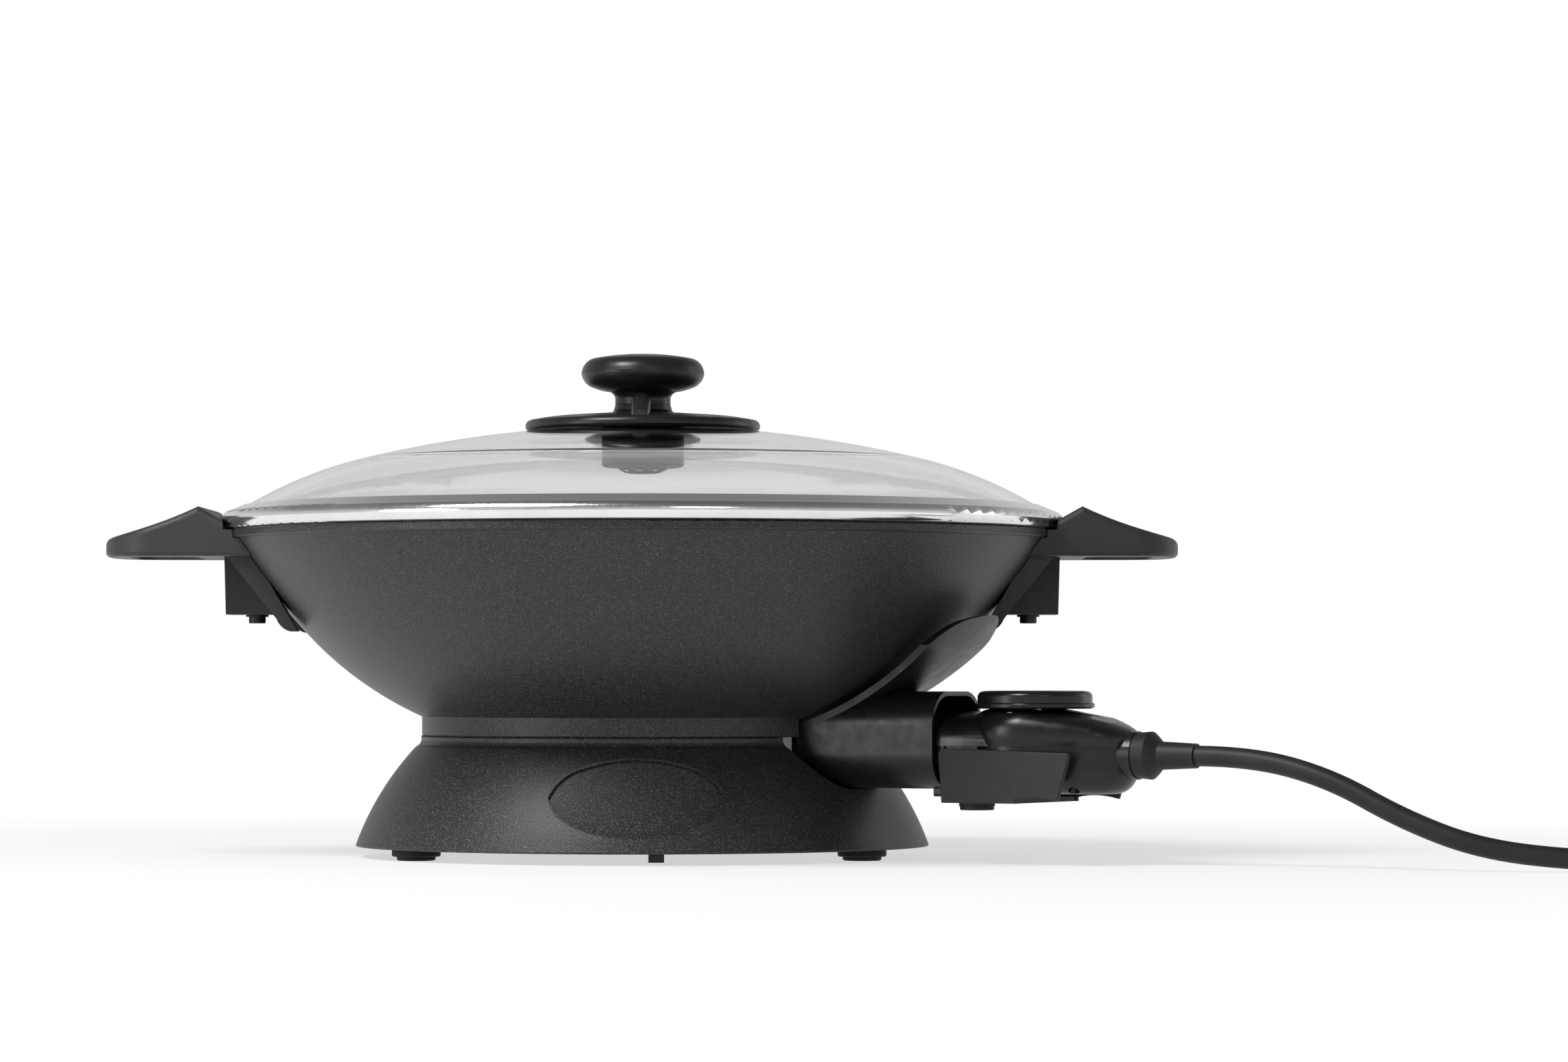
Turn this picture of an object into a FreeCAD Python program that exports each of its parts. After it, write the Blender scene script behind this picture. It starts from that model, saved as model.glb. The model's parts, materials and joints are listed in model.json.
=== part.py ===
"""Electric wok: base stand, cast bowl with its element, glass lid and plug-in thermostat probe.

Frame: +X along the handles, +Z up, origin under the middle of the feet. Millimetres and degrees.
Bowl pieces are drawn from the underside of the bowl's foot ring, lid pieces from the rim of the bowl,
probe pieces from the wok's centre line with X along the socket. Each gets there by its Placement.
"""
import FreeCAD, Part

import math
import os

import Sketcher
from FreeCAD import Placement, Rotation, Vector

doc = FreeCAD.newDocument("electric_wok")
dims = doc.addObject("Spreadsheet::Sheet", "dims")

DRIVING = {
    # base stand
    "base_bottom_z": 5.0, "base_bottom_rad": 131.4, "base_top_z": 55.5, "base_top_rad": 101.6,
    "base_wall": 3.0, "deck_z": 24.0, "deck_thick": 3.0,
    "foot_x": 100.0, "foot_y": 60.0, "foot_rad": 11.0, "foot_pad_rad": 8.75,
    "well_rad": 98.2, "scoop_half": 35.7, "scoop_bottom_z": 32.2,
    "oval_half_wide": 38.7, "oval_half_high": 17.6, "oval_mid_z": 29.0, "oval_deep": 1.8,
    # reflector tray and lock
    "tray_rad": 97.5, "tray_sheet": 0.8, "tray_floor_z": 30.0, "tray_lip_rad": 99.4, "tray_lip_z": 59.8,
    "drum_rad": 20.0, "stud_apart": 12.4, "stud_rad": 2.5, "stud_neck_rad": 1.5,
    "lock_plate_low_z": 37.3, "lock_plate_top_z": 39.0, "tab_rad": 118.0,
    # bowl, from the underside of its foot ring
    "bowl_wall": 4.0, "ring_rad": 101.3, "ring_inner_rad": 96.0, "flank_low_rad": 162.6,
    "flank_low_x": 34.4, "flank_low_z": 156.9,
    "flank_high_bend": 355.0, "rim_rad": 190.0, "rim_z": 94.0,
    "bowl_flat_z": 3.0, "flank_mid_turn": 47.87, "flank_top_turn": 56.44,
    # heating casting
    "plate_rad": 84.0, "plate_low_z": -1.0, "ridge_rad": 50.0, "ridge_half": 9.0, "ridge_low_z": -10.1,
    "boss_rad": 20.5, "boss_low_z": -15.9, "stud_low_z": -21.0, "element_rad": 3.25,
    "pin_half_apart": 13.0, "pin_rad": 2.5,
    # socket and probe, from the wok's centre line along the socket
    "socket_turn": -30.0, "axis_z": -2.0, "socket_back_x": 88.0, "socket_mouth_x": 164.0,
    "socket_half_wide": 23.5, "socket_low": -20.8, "socket_top": 22.4, "socket_wall": 1.9,
    "well_end_x": 131.0, "rod_rad": 4.0, "rod_tip_x": 102.0,
    "nose_front_x": 134.0, "body_front_x": 166.0, "body_back_x": 254.0, "body_half_wide": 28.0,
    "body_low": -22.4, "dial_x": 203.0, "dial_rad": 25.5,
    # handles, in bowl height
    "handle_tip_x": 246.0, "handle_apex_x": 200.0, "handle_apex_z": 104.0, "bar_low_z": 84.0,
    # lid, from the rim of the bowl
    "glass_top_z": 48.1, "glass_thick": 4.0, "dome_rad": 548.0, "dome_break_turn": 13.51,
    "shoulder_bend": 190.0, "glass_edge_turn": 31.19, "bead_rad": 193.5, "bead_high": 8.7,
    "flange_rad": 183.2, "flange_deep": 6.0, "vent_disc_rad": 54.0, "knob_rad": 28.25, "knob_top_z": 81.3,
    # cord
    "cord_rad": 4.5,
}

for row, (alias, number) in enumerate(DRIVING.items(), start=1):
    dims.set(f"A{row}", alias)
    dims.set(f"B{row}", str(number))
    dims.setAlias(f"B{row}", alias)
doc.recompute()


def measure(text):
    """The number that a size or an expression of the sheet's names stands for."""
    return float(dims.evalExpression(str(text)))


def bind(thing, path, text):
    """Ties a property to the sheet, or sets it where it is a plain number."""
    if not isinstance(text, str):
        text = repr(float(text))
    for alias in sorted(DRIVING, key=len, reverse=True):
        text = text.replace(alias, "<" + alias.upper() + ">")
    for alias in DRIVING:
        text = text.replace("<" + alias.upper() + ">", "dims." + alias)
    thing.setExpression(path, text)


def pin_down(sketch, geometry, point, across, up):
    """Holds one point of a sketch at its two coordinates."""
    for letter, text, axis in (("X", across, -2), ("Y", up, -1)):
        number = measure(text)
        if abs(number) < 1e-9:
            sketch.addConstraint(Sketcher.Constraint("PointOnObject", geometry, point, axis))
            continue
        rule = Sketcher.Constraint("Distance" + letter, -1, 1, geometry, point, number)
        index = sketch.addConstraint(rule)
        if isinstance(text, str):
            bind(sketch, f"Constraints[{index}]", text)


def arc_between(start, end, bend):
    """The arc of radius abs(bend) from start to end, to the left where bend is positive."""
    chord = end - start
    half = chord.Length / 2
    left = Vector(-chord.y, chord.x, 0).normalize()
    rise = math.sqrt(max(bend * bend - half * half, 0.0))
    centre = (start + end) / 2 + left * math.copysign(rise, bend)
    first, last = (start, end) if bend > 0 else (end, start)
    circle = Part.Circle(centre, Vector(0, 0, 1), abs(bend))
    angles = [math.atan2(p.y - centre.y, p.x - centre.x) for p in (first, last)]
    return Part.ArcOfCircle(circle, *angles)


def draw_loop(sketch, corners):
    """A closed outline of corners (u, v) or (u, v, bend), bend being that of the side that ends there."""
    points = [Vector(measure(c[0]), measure(c[1]), 0) for c in corners]
    ends = []
    for i, corner in enumerate(corners):
        start, end = points[i - 1], points[i]
        if len(corner) == 2:
            geometry = sketch.addGeometry(Part.LineSegment(start, end))
            ends.append((geometry, 1, 2))
            continue
        bend = measure(corner[2])
        geometry = sketch.addGeometry(arc_between(start, end, bend))
        ends.append((geometry, 1, 2) if bend > 0 else (geometry, 2, 1))
        index = sketch.addConstraint(Sketcher.Constraint("Radius", geometry, abs(bend)))
        if isinstance(corner[2], str):
            bind(sketch, f"Constraints[{index}]", f"abs({corner[2]})")
    for i, (geometry, _, finish) in enumerate(ends):
        follower, begin, _ = ends[(i + 1) % len(ends)]
        sketch.addConstraint(Sketcher.Constraint("Coincident", geometry, finish, follower, begin))
        pin_down(sketch, geometry, finish, corners[i][0], corners[i][1])


def draw_circle(sketch, across, up, radius):
    """A full circle."""
    centre = Vector(measure(across), measure(up), 0)
    circle = Part.Circle(centre, Vector(0, 0, 1), measure(radius))
    geometry = sketch.addGeometry(circle)
    pin_down(sketch, geometry, 3, across, up)
    index = sketch.addConstraint(Sketcher.Constraint("Radius", geometry, measure(radius)))
    if isinstance(radius, str):
        bind(sketch, f"Constraints[{index}]", radius)


def rounded(left, low, right, top, bend):
    """Corners of a rectangle with rounded corners, counter-clockwise."""
    l, b, r, t, q = (f"({v})" for v in (left, low, right, top, bend))
    return [(f"{l}+{q}", b), (f"{r}-{q}", b), (r, f"{b}+{q}", bend), (r, f"{t}-{q}"),
            (f"{r}-{q}", t, bend), (f"{l}+{q}", t), (l, f"{t}-{q}", bend), (l, f"{b}+{q}"),
            (f"{l}+{q}", b, bend)][1:]


def rectangle(left, low, right, top):
    """Corners of a plain rectangle."""
    return [(right, low), (right, top), (left, top), (left, low)]


class Piece:
    """A sub-part that a body carries, grown feature by feature."""

    def __init__(self, label, lift=0, turn=0):
        self.body = doc.addObject("PartDesign::Body", label)
        self.body.Label = label
        self.body.AllowCompound = True
        self.body.Placement = Placement(Vector(0, 0, measure(lift)), Rotation(Vector(0, 0, 1), measure(turn)))
        if isinstance(lift, str):
            bind(self.body, "Placement.Base.z", lift)

    def sketch(self, plane, *loops, lift=0, turn=0, at=(0, 0)):
        """A sketch on an origin plane, turned about the vertical and moved to at, lift off its plane."""
        number = len(self.body.Group)
        sketch = self.body.newObject("Sketcher::SketchObject", f"{self.body.Name}_outline_{number}")
        role = {"top": "XY_Plane", "front": "XZ_Plane", "side": "YZ_Plane"}[plane]
        support = next(f for f in self.body.Origin.OriginFeatures if f.Role == role)
        sketch.AttachmentSupport = [(support, "")]
        sketch.MapMode = "FlatFace"
        upright = Vector(0, 0, 1) if plane == "top" else Vector(0, 1, 0)
        offset = Vector(measure(at[0]), measure(at[1]), 0)
        if plane == "front":
            offset = Vector(measure(at[0]), 0, -measure(at[1]))
        if plane == "side":
            offset = Vector(measure(at[1]), 0, measure(at[0]))
        sketch.AttachmentOffset = Placement(offset, Rotation(upright, measure(turn)))
        if lift != 0:
            away = sketch.AttachmentOffset.Rotation.multVec(Vector(0, 0, measure(lift)))
            sketch.AttachmentOffset = Placement(offset + away, Rotation(upright, measure(turn)))
        if lift != 0 and plane == "top":
            bind(sketch, "AttachmentOffset.Base.z", lift)
        for loop in loops:
            if loop[0] == "circle":
                draw_circle(sketch, *loop[1:])
            else:
                draw_loop(sketch, loop)
        return sketch

    def feature(self, kind, **settings):
        """Adds a feature whose text settings are tied to the sheet, and checks that it did something."""
        doc.recompute()
        before = self.body.Shape.Volume if self.body.Tip else 0.0
        made = self.body.newObject("PartDesign::" + kind, f"{self.body.Name}_{kind}")
        for name, setting in settings.items():
            if isinstance(setting, str) and name not in ("Type", "SideType"):
                bind(made, name, setting)
            else:
                setattr(made, name, setting)
        self.body.Tip = made
        doc.recompute()
        if not made.isValid() or abs(self.body.Shape.Volume - before) < 1e-3:
            raise ValueError(f"{self.body.Label}: {made.Name} failed or changed nothing")
        return made

    def pad(self, sketch, length, **settings):
        return self.feature("Pad", Profile=sketch, Length=length, **settings)

    def pocket(self, sketch, length, **settings):
        return self.feature("Pocket", Profile=sketch, Length=length, **settings)

    def spin(self, sketch, angle=360.0, kind="Revolution", axis="V_Axis", **settings):
        return self.feature(kind, Profile=sketch, ReferenceAxis=(sketch, [axis]), Angle=angle, **settings)

    def groove(self, sketch, angle=360.0, **settings):
        return self.spin(sketch, angle, kind="Groove", **settings)

    def around(self, features, count, angle=360.0):
        """Repeats features about the body's own vertical."""
        upright = next(f for f in self.body.Origin.OriginFeatures if f.Role == "Z_Axis")
        return self.feature("PolarPattern", Originals=features, Axis=(upright, [""]), Angle=angle,
                            Occurrences=count)

    def mirror(self, features, role="XZ_Plane"):
        """Repeats features on the other side of an origin plane."""
        plane = next(f for f in self.body.Origin.OriginFeatures if f.Role == role)
        return self.feature("Mirrored", Originals=features, MirrorPlane=(plane, [""]))

    def soften(self, radius, chosen, kind="Fillet"):
        """Rounds, or chamfers, the edges for which chosen(middle point, edge) is true."""
        doc.recompute()
        base = self.body.Tip
        names = []
        for number, edge in enumerate(base.Shape.Edges, start=1):
            middle = edge.valueAt((edge.FirstParameter + edge.LastParameter) / 2)
            if chosen(middle, edge):
                names.append(f"Edge{number}")
        size = {"Fillet": "Radius", "Chamfer": "Size"}[kind]
        return self.feature(kind, Base=(base, names), **{size: radius})


SYMMETRIC = {"SideType": "Symmetric"}
FREE_PIECES = []


# ---------------------------------------------------------------- base stand


def base_housing():
    """Moulded stand: flared skin, collar, deck with the lock's hub, foot posts and the socket's scoop."""
    piece = Piece("base_housing")
    skin = [("base_bottom_rad-base_wall", "base_bottom_z"), ("base_bottom_rad", "base_bottom_z"),
            ("base_bottom_rad", "base_bottom_z+0.8"), ("base_top_rad+2.4", "base_top_z-5", 132),
            ("base_top_rad", "base_top_z-2.3", -4), ("base_top_rad", "base_top_z-0.6"),
            ("base_top_rad-0.6", "base_top_z", 0.6), ("well_rad", "base_top_z"),
            ("well_rad", "base_top_z-7.5"), ("base_bottom_rad-base_wall", "base_bottom_z", -129)]
    piece.spin(piece.sketch("front", skin[1:]))
    deck = rectangle("drum_rad+4", "deck_z", 119.5, "deck_z+deck_thick")
    piece.spin(piece.sketch("front", deck))
    hub = rectangle("drum_rad+0.4", "deck_z-2.5", "drum_rad+4.6", "deck_z+5")
    piece.spin(piece.sketch("front", hub))
    posts = [("circle", f"{sx}*foot_x", f"{sy}*foot_y", "foot_rad+1") for sx in (-1, 1) for sy in (-1, 1)]
    piece.pad(piece.sketch("top", *posts, lift="base_bottom_z"), "deck_z-base_bottom_z+1")
    tray_post = ("circle", 80, 0, 4.5)
    for turn in TRAY_POST_TURNS:
        piece.pad(piece.sketch("top", tray_post, lift="deck_z", turn=turn), "tray_floor_z-deck_z")
    rib = rectangle("drum_rad+4", -1.25, 119, 1.25)
    first = piece.pad(piece.sketch("top", rib, lift="deck_z+1", turn=15), 3.4)
    piece.around([first], 12)
    trough = scoop_outline("base_wall", "base_top_z")
    piece.pad(piece.sketch("side", trough, lift=60, turn="socket_turn"), 76)
    outside = [(160, 0), (160, 62), ("base_top_rad", 62), ("base_top_rad", "base_top_z-2.3"),
               ("base_top_rad+2.4", "base_top_z-5", 4), ("base_bottom_rad", "base_bottom_z+0.8", -132),
               ("base_bottom_rad", 0)]
    piece.groove(piece.sketch("front", outside))
    well = rectangle(0, "deck_z+deck_thick+2", "well_rad", 66)
    piece.groove(piece.sketch("front", well))
    piece.pocket(piece.sketch("side", scoop_outline(0, 70), lift=60, turn="socket_turn"), 90, Reversed=True)
    stems = [(c[0], c[1], c[2], 4.1) for c in posts]
    piece.pocket(piece.sketch("top", *stems, lift="base_bottom_z"), 6.5, Reversed=True)
    pilots = [(c[0], c[1], c[2], 1.55) for c in posts]
    piece.pocket(piece.sketch("top", *pilots, lift="base_bottom_z"), 11, Reversed=True)
    for turn in TRAY_POST_TURNS:
        pilot = ("circle", 80, 0, 1.55)
        piece.pocket(piece.sketch("top", pilot, lift="tray_floor_z", turn=turn), 6.5)
    return cut_with(piece, oval_dish())


TRAY_POST_TURNS = (30, 150, 270)


def scoop_outline(grow, top):
    """The U that the probe socket lies in, grown outward by grow, up to the height top."""
    side = f"scoop_half+{grow}"
    low = f"scoop_bottom_z-{grow}"
    return [(12, low), (side, 55.2, f"23.7+{grow}"), (side, top), (f"-({side})", top), (f"-({side})", 55.2),
            (-12, low, f"23.7+{grow}")]


def oval_dish():
    """The shallow oval that is dished into the front of the skin."""
    dish = Piece("oval_dish")
    across, up = "oval_half_wide", "oval_half_high"
    oval = [("0.62*" + across, f"oval_mid_z-0.72*{up}"), (across, "oval_mid_z", 22),
            ("0.62*" + across, f"oval_mid_z+0.72*{up}", 22), (f"-0.62*{across}", f"oval_mid_z+0.72*{up}", 75),
            (f"-{across}", "oval_mid_z", 22), (f"-0.62*{across}", f"oval_mid_z-0.72*{up}", 22)]
    closing = (oval[0][0], oval[0][1], 75)
    dish.pad(dish.sketch("front", [closing] + oval[1:], lift=90), 60)
    kept = [(0, -1), ("base_bottom_rad-oval_deep", -1), ("base_bottom_rad-oval_deep", "base_bottom_z+0.8"),
            ("base_top_rad+2.4-oval_deep", "base_top_z-5", "132-oval_deep"), (0, "base_top_z-5")]
    dish.groove(dish.sketch("front", kept))
    return dish


def cut_with(piece, tool):
    """Takes the body tool out of piece."""
    doc.recompute()
    made = piece.body.newObject("PartDesign::Boolean", piece.body.Name + "_cut")
    made.Type = "Cut"
    made.setObjects([tool.body])
    piece.body.Tip = made
    doc.recompute()
    if not made.isValid():
        raise ValueError(piece.body.Label + ": the cut failed")
    return piece


def rubber_feet():
    """Four stepped feet with a stem in the post and a recess for the screw."""
    piece = Piece("rubber_feet")
    half = [(1.6, 2.6), (3.6, 2.6), (3.6, 0), ("foot_pad_rad-1", 0), ("foot_pad_rad", 1, 1),
            ("foot_pad_rad", 1.8), ("foot_rad-0.8", 1.8), ("foot_rad", 2.6, 0.8),
            ("foot_rad", "base_bottom_z"), (4.0, "base_bottom_z"), (4.0, 11), (1.6, 11)]
    for sx in (-1, 1):
        for sy in (-1, 1):
            piece.spin(piece.sketch("front", half, at=(f"{sx}*foot_x", f"{sy}*foot_y")))


def screw_outline(head_rad, head_low, head_high, shank_rad, tip_z):
    """Half outline of a screw that points up from its head."""
    return [(0, head_low), (head_rad - 0.5, head_low), (head_rad, head_low + 0.5, 0.5), (head_rad, head_high),
            (shank_rad, head_high), (shank_rad, tip_z - 1), (shank_rad - 0.8, tip_z), (0, tip_z)]


def foot_screws():
    piece = Piece("foot_screws")
    for sx in (-1, 1):
        for sy in (-1, 1):
            half = screw_outline(3.1, 1.0, 2.6, 1.5, 15)
            piece.spin(piece.sketch("front", half, at=(f"{sx}*foot_x", f"{sy}*foot_y")))


def reflector_tray():
    """Thin bright tray whose lip stands up round the bowl's foot, with a few long shallow notches."""
    piece = Piece("reflector_tray")
    sheet = [("tray_rad-5", "tray_floor_z"), ("tray_rad", "tray_floor_z+5", 5), ("tray_rad", "base_top_z"),
             ("tray_lip_rad", "tray_lip_z-0.4"), ("tray_lip_rad-0.7", "tray_lip_z"),
             ("tray_rad-tray_sheet", "base_top_z+0.3"), ("tray_rad-tray_sheet", "tray_floor_z+5"),
             ("tray_rad-5", "tray_floor_z+tray_sheet", "tray_sheet-5"), (26, "tray_floor_z+tray_sheet"),
             (26, "tray_floor_z")]
    piece.spin(piece.sketch("front", sheet))
    for turn, half in TRAY_NOTCHES:
        notch = [(-half, "tray_lip_z-2.1"), (half, "tray_lip_z-2.1"), (half + 2, "tray_lip_z+1"),
                 (-half - 2, "tray_lip_z+1")]
        piece.pocket(piece.sketch("side", notch, lift=88, turn=turn), 18, Reversed=True)
    gap = rectangle(-26, "tray_floor_z+1.3", 26, 66)
    piece.pocket(piece.sketch("side", gap, lift=84, turn="socket_turn"), 20, Reversed=True)
    for turn in TRAY_POST_TURNS:
        hole = ("circle", 80, 0, 1.7)
        piece.pocket(piece.sketch("top", hole, lift="tray_floor_z+2", turn=turn), 4)


# turn of each notch in the lip, and half its length
TRAY_NOTCHES = ((-114, 17.5), (-163, 26), (66, 17.5), (17, 17.5))


def tray_screws():
    piece = Piece("tray_screws")
    for turn in TRAY_POST_TURNS:
        angle = math.radians(turn)
        place = (80 * math.cos(angle), 80 * math.sin(angle))
        half = [(0, 24.2), (0.9, 24.2), (1.5, 25), (1.5, "tray_floor_z+tray_sheet"),
                (3.2, "tray_floor_z+tray_sheet"), (3.2, 31.6), (2.6, 32.4, 1), (0, 32.4)]
        piece.spin(piece.sketch("front", half, at=place))


def lock_lever():
    """Rotary lock: a drum with two keyholes on top, and an arm to the finger tab at the front."""
    piece = Piece("lock_lever")
    drum = [("drum_rad-3", 18.5), (27, 18.5), (27, 21.2), ("drum_rad", 21.2), ("drum_rad", 29.05),
            ("drum_rad-1.4", 29.05), ("drum_rad-1.4", 30.3), ("drum_rad", 30.3),
            ("drum_rad", "lock_plate_top_z-0.8"), ("drum_rad-0.8", "lock_plate_top_z"),
            (0, "lock_plate_top_z"), (0, "lock_plate_low_z"), ("drum_rad-3", "lock_plate_low_z")]
    piece.spin(piece.sketch("front", drum))
    arm = [(112, -6), ("tab_rad+1", -3.4), ("tab_rad+1", 3.4), (112, 6), (22, 9), (22, -9)]
    piece.pad(piece.sketch("top", arm, lift=17.2, turn=TAB_TURN), 3.4)
    tab = rectangle("tab_rad-3", -3.4, "tab_rad+1", 3.4)
    piece.pad(piece.sketch("top", tab, lift=1, turn=TAB_TURN), 17)
    for side in (0, 180):
        hole = ("circle", "stud_apart/2", 0, "stud_rad+0.5")
        piece.pocket(piece.sketch("top", hole, lift="lock_plate_top_z", turn=side), 3)
        piece.pocket(piece.sketch("top", lock_slot(), lift="lock_plate_top_z", turn=side), 3)


TAB_TURN = -85.6
SLOT_TURN = 38.0


def lock_slot():
    """The narrow part of a keyhole, along the stud's circle."""
    middle, half = "(stud_apart/2)", "(stud_neck_rad+0.2)"
    inner, outer = f"({middle}-{half})", f"({middle}+{half})"
    c, s = f"cos({SLOT_TURN})", f"sin({SLOT_TURN})"
    return [(outer, 0), (f"{outer}*{c}", f"{outer}*{s}", outer),
            (f"{inner}*{c}", f"{inner}*{s}", f"1.05*{half}"), (inner, 0, f"-{inner}")]


def lock_retainer():
    """Snap ring that holds the drum up in the hub."""
    piece = Piece("lock_retainer")
    ring = rectangle("drum_rad-1.2", 29.1, "drum_rad+3.4", 30.2)
    piece.spin(piece.sketch("front", ring, turn=100), 340.0)


# ---------------------------------------------------------------- bowl


def flank(grow):
    """The bowl's outer side moved outward by grow: middle point, top point and both bends."""
    low, high = f"(flank_low_rad+({grow}))", f"(flank_high_bend+({grow}))"
    apart = "(flank_high_bend-flank_low_rad)"
    middle = (f"flank_low_x+{low}*sin(flank_mid_turn)", f"flank_low_z-{low}*cos(flank_mid_turn)")
    top = (f"flank_low_x-{apart}*sin(flank_mid_turn)+{high}*sin(flank_top_turn)",
           f"flank_low_z+{apart}*cos(flank_mid_turn)-{high}*cos(flank_top_turn)")
    return middle, top, low, high


def flank_foot(grow, height):
    """Radius of the flank, moved outward by grow, at a height on its lower bend."""
    return f"flank_low_x+sqrt((flank_low_rad+({grow}))^2-(flank_low_z-({height}))^2)"


def bowl_room(grow):
    """Half outline of the space that the bowl fills, grown by grow: what other pieces are cut back from."""
    middle, top, low, high = flank(grow)
    flat = f"bowl_flat_z-({grow})"
    return [(0, flat), (flank_foot(grow, flat), flat), (*middle, low), (*top, high),
            (f"rim_rad+({grow})", f"rim_z-4-({grow})"), (f"rim_rad+({grow})", "rim_z+40"), (0, "rim_z+40")]


def wok_bowl():
    """Cast bowl: two-bend flank, rim band, flat cooking floor, foot ring and a lug for each handle."""
    piece = Piece("wok_bowl", "base_top_z")
    middle, top, low, high = flank(0)
    middle_in, top_in, low_in, high_in = flank("-bowl_wall")
    floor = "bowl_flat_z+bowl_wall"
    shell = [(0, "bowl_flat_z"), (flank_foot(0, "bowl_flat_z"), "bowl_flat_z"), (*middle, low), (*top, high),
             ("rim_rad-0.8", "rim_z-4"), ("rim_rad", "rim_z-3.2", 0.9), ("rim_rad", "rim_z-0.8"),
             ("rim_rad-0.8", "rim_z", 0.9), ("rim_rad-4", "rim_z"), (*top_in,), (*middle_in, f"-{high_in}"),
             (flank_foot("-bowl_wall", floor), floor, f"-{low_in}"), (0, floor)]
    piece.spin(piece.sketch("front", shell))
    ring = [("ring_rad-1.4", 0), ("ring_rad-0.4", 0), ("ring_rad", 0.6), ("ring_rad", 9.3),
            ("ring_inner_rad", 9.3), ("ring_inner_rad", 5), ("ring_rad-1.4", 5)]
    piece.spin(piece.sketch("front", ring, turn="socket_turn+15"), 330.0)
    lug = [(166, 62), (186, 62), (186, 80), (179, 80)]
    made = piece.pad(piece.sketch("front", lug), 18, **SYMMETRIC)
    piece.mirror([made], "YZ_Plane")
    for side in (-1, 1):
        hole = ("circle", side * HANDLE_SCREW_X, 0, 1.9)
        piece.pocket(piece.sketch("top", hole, lift=61), 12, Reversed=True)


HANDLE_SCREW_X = 177.4
EAR_OUT, EAR_ACROSS, EAR_HALF = 77.0, 21.6, 3.2


def heating_casting():
    """Cast plate that holds the element: ridge over the element, ribs, boss and the sensor's well."""
    piece = Piece("heating_casting", "base_top_z", "socket_turn")
    low, ridge = "ridge_low_z", "ridge_rad"
    body = [(0, "boss_low_z"), ("boss_rad-1", "boss_low_z"), ("boss_rad", "boss_low_z+1", 1),
            ("boss_rad", "plate_low_z"), (f"{ridge}-ridge_half", "plate_low_z"),
            (f"{ridge}-ridge_half+1.2", f"{low}+2.5"), (f"{ridge}-ridge_half+4", low, 4),
            (f"{ridge}+ridge_half-4", low), (f"{ridge}+ridge_half-1.2", f"{low}+2.5", 4),
            (f"{ridge}+ridge_half", "plate_low_z"), ("plate_rad-1", "plate_low_z"),
            ("plate_rad", "plate_low_z+1", 1), ("plate_rad", "bowl_flat_z"), (0, "bowl_flat_z")]
    piece.spin(piece.sketch("front", body))
    leg = rounded("pin_half_apart-5", "axis_z-4.9", "pin_half_apart+5", 2, 2.4)
    for side in (-1, 1):
        shifted = [(f"{side}*({c[0]})", c[1], *(f"{side}*({b})" for b in c[2:])) for c in leg]
        piece.pad(piece.sketch("side", shifted, lift=50), 38)
    rib = rectangle("boss_rad-2", -2, "ridge_rad-7", 2)
    first = piece.pad(piece.sketch("top", rib, lift="ridge_low_z+2.5", turn=30), 6)
    piece.around([first], 6)
    well = ("circle", 0, "axis_z", 7.5)
    piece.pad(piece.sketch("side", well, lift=80), "well_end_x-80")
    web = rectangle(80, -3, 112, 3)
    piece.pad(piece.sketch("top", web, lift="axis_z"), 9)
    piece.groove(piece.sketch("front", bowl_room(0.05)))
    bore = ("circle", 0, "axis_z", "rod_rad+0.3")
    piece.pocket(piece.sketch("side", bore, lift="well_end_x+1"), "well_end_x-rod_tip_x+2.5")
    element = piece.sketch("side", ("circle", "pin_half_apart", "axis_z", "element_rad+0.1"), lift=90)
    piece.feature("SubtractivePipe", Profile=element, Spine=(element_path(piece), element_edges()))
    for side in (-1, 1):
        out = f"{side}*stud_apart/2"
        hole = ("circle", f"{out}*cos(socket_turn)", f"-{out}*sin(socket_turn)", 1.9)
        piece.pocket(piece.sketch("top", hole, lift="boss_low_z-1"), 8, Reversed=True)
        ear = ("circle", EAR_OUT, side * EAR_ACROSS, 1.3)
        piece.pocket(piece.sketch("top", ear, lift="plate_low_z-1"), 3.6, Reversed=True)
    notch = rectangle(-2.2, -25, 2.2, -18)
    piece.pocket(piece.sketch("top", notch, lift="boss_low_z-1", turn=30), 5, Reversed=True)


def element_path(piece):
    """The element's centre line: two legs beside the well and nearly a full turn under the plate."""
    sketch = piece.sketch("top", lift="axis_z")
    end, bend = 90.0, 10.0
    side, ring = measure("pin_half_apart"), measure("ridge_rad")
    reach = math.sqrt((ring + bend) ** 2 - (side + bend) ** 2)
    meet = Vector(reach, side + bend, 0) * (ring / (ring + bend))
    mirrored = Vector(meet.x, -meet.y, 0)
    up = Vector(0, 0, 1)
    first = Part.LineSegment(Vector(end, side, 0), Vector(reach, side, 0))
    turn_in = arc_between(Vector(reach, side, 0), meet, -bend)
    opening = math.atan2(meet.y, meet.x)
    long_way = Part.ArcOfCircle(Part.Circle(Vector(0, 0, 0), up, ring), opening, 2 * math.pi - opening)
    turn_out = arc_between(mirrored, Vector(reach, -side, 0), -bend)
    last = Part.LineSegment(Vector(reach, -side, 0), Vector(end, -side, 0))
    for geometry in (first, turn_in, long_way, turn_out, last):
        number = sketch.addGeometry(geometry)
        sketch.addConstraint(Sketcher.Constraint("Block", number))
    doc.recompute()
    return sketch


def element_edges():
    return [f"Edge{number}" for number in range(1, 6)]


def heating_element():
    """Tubular element cast into the plate."""
    piece = Piece("heating_element", "base_top_z", "socket_turn")
    section = piece.sketch("side", ("circle", "pin_half_apart", "axis_z", "element_rad"), lift=90)
    piece.feature("AdditivePipe", Profile=section, Spine=(element_path(piece), element_edges()))


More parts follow.
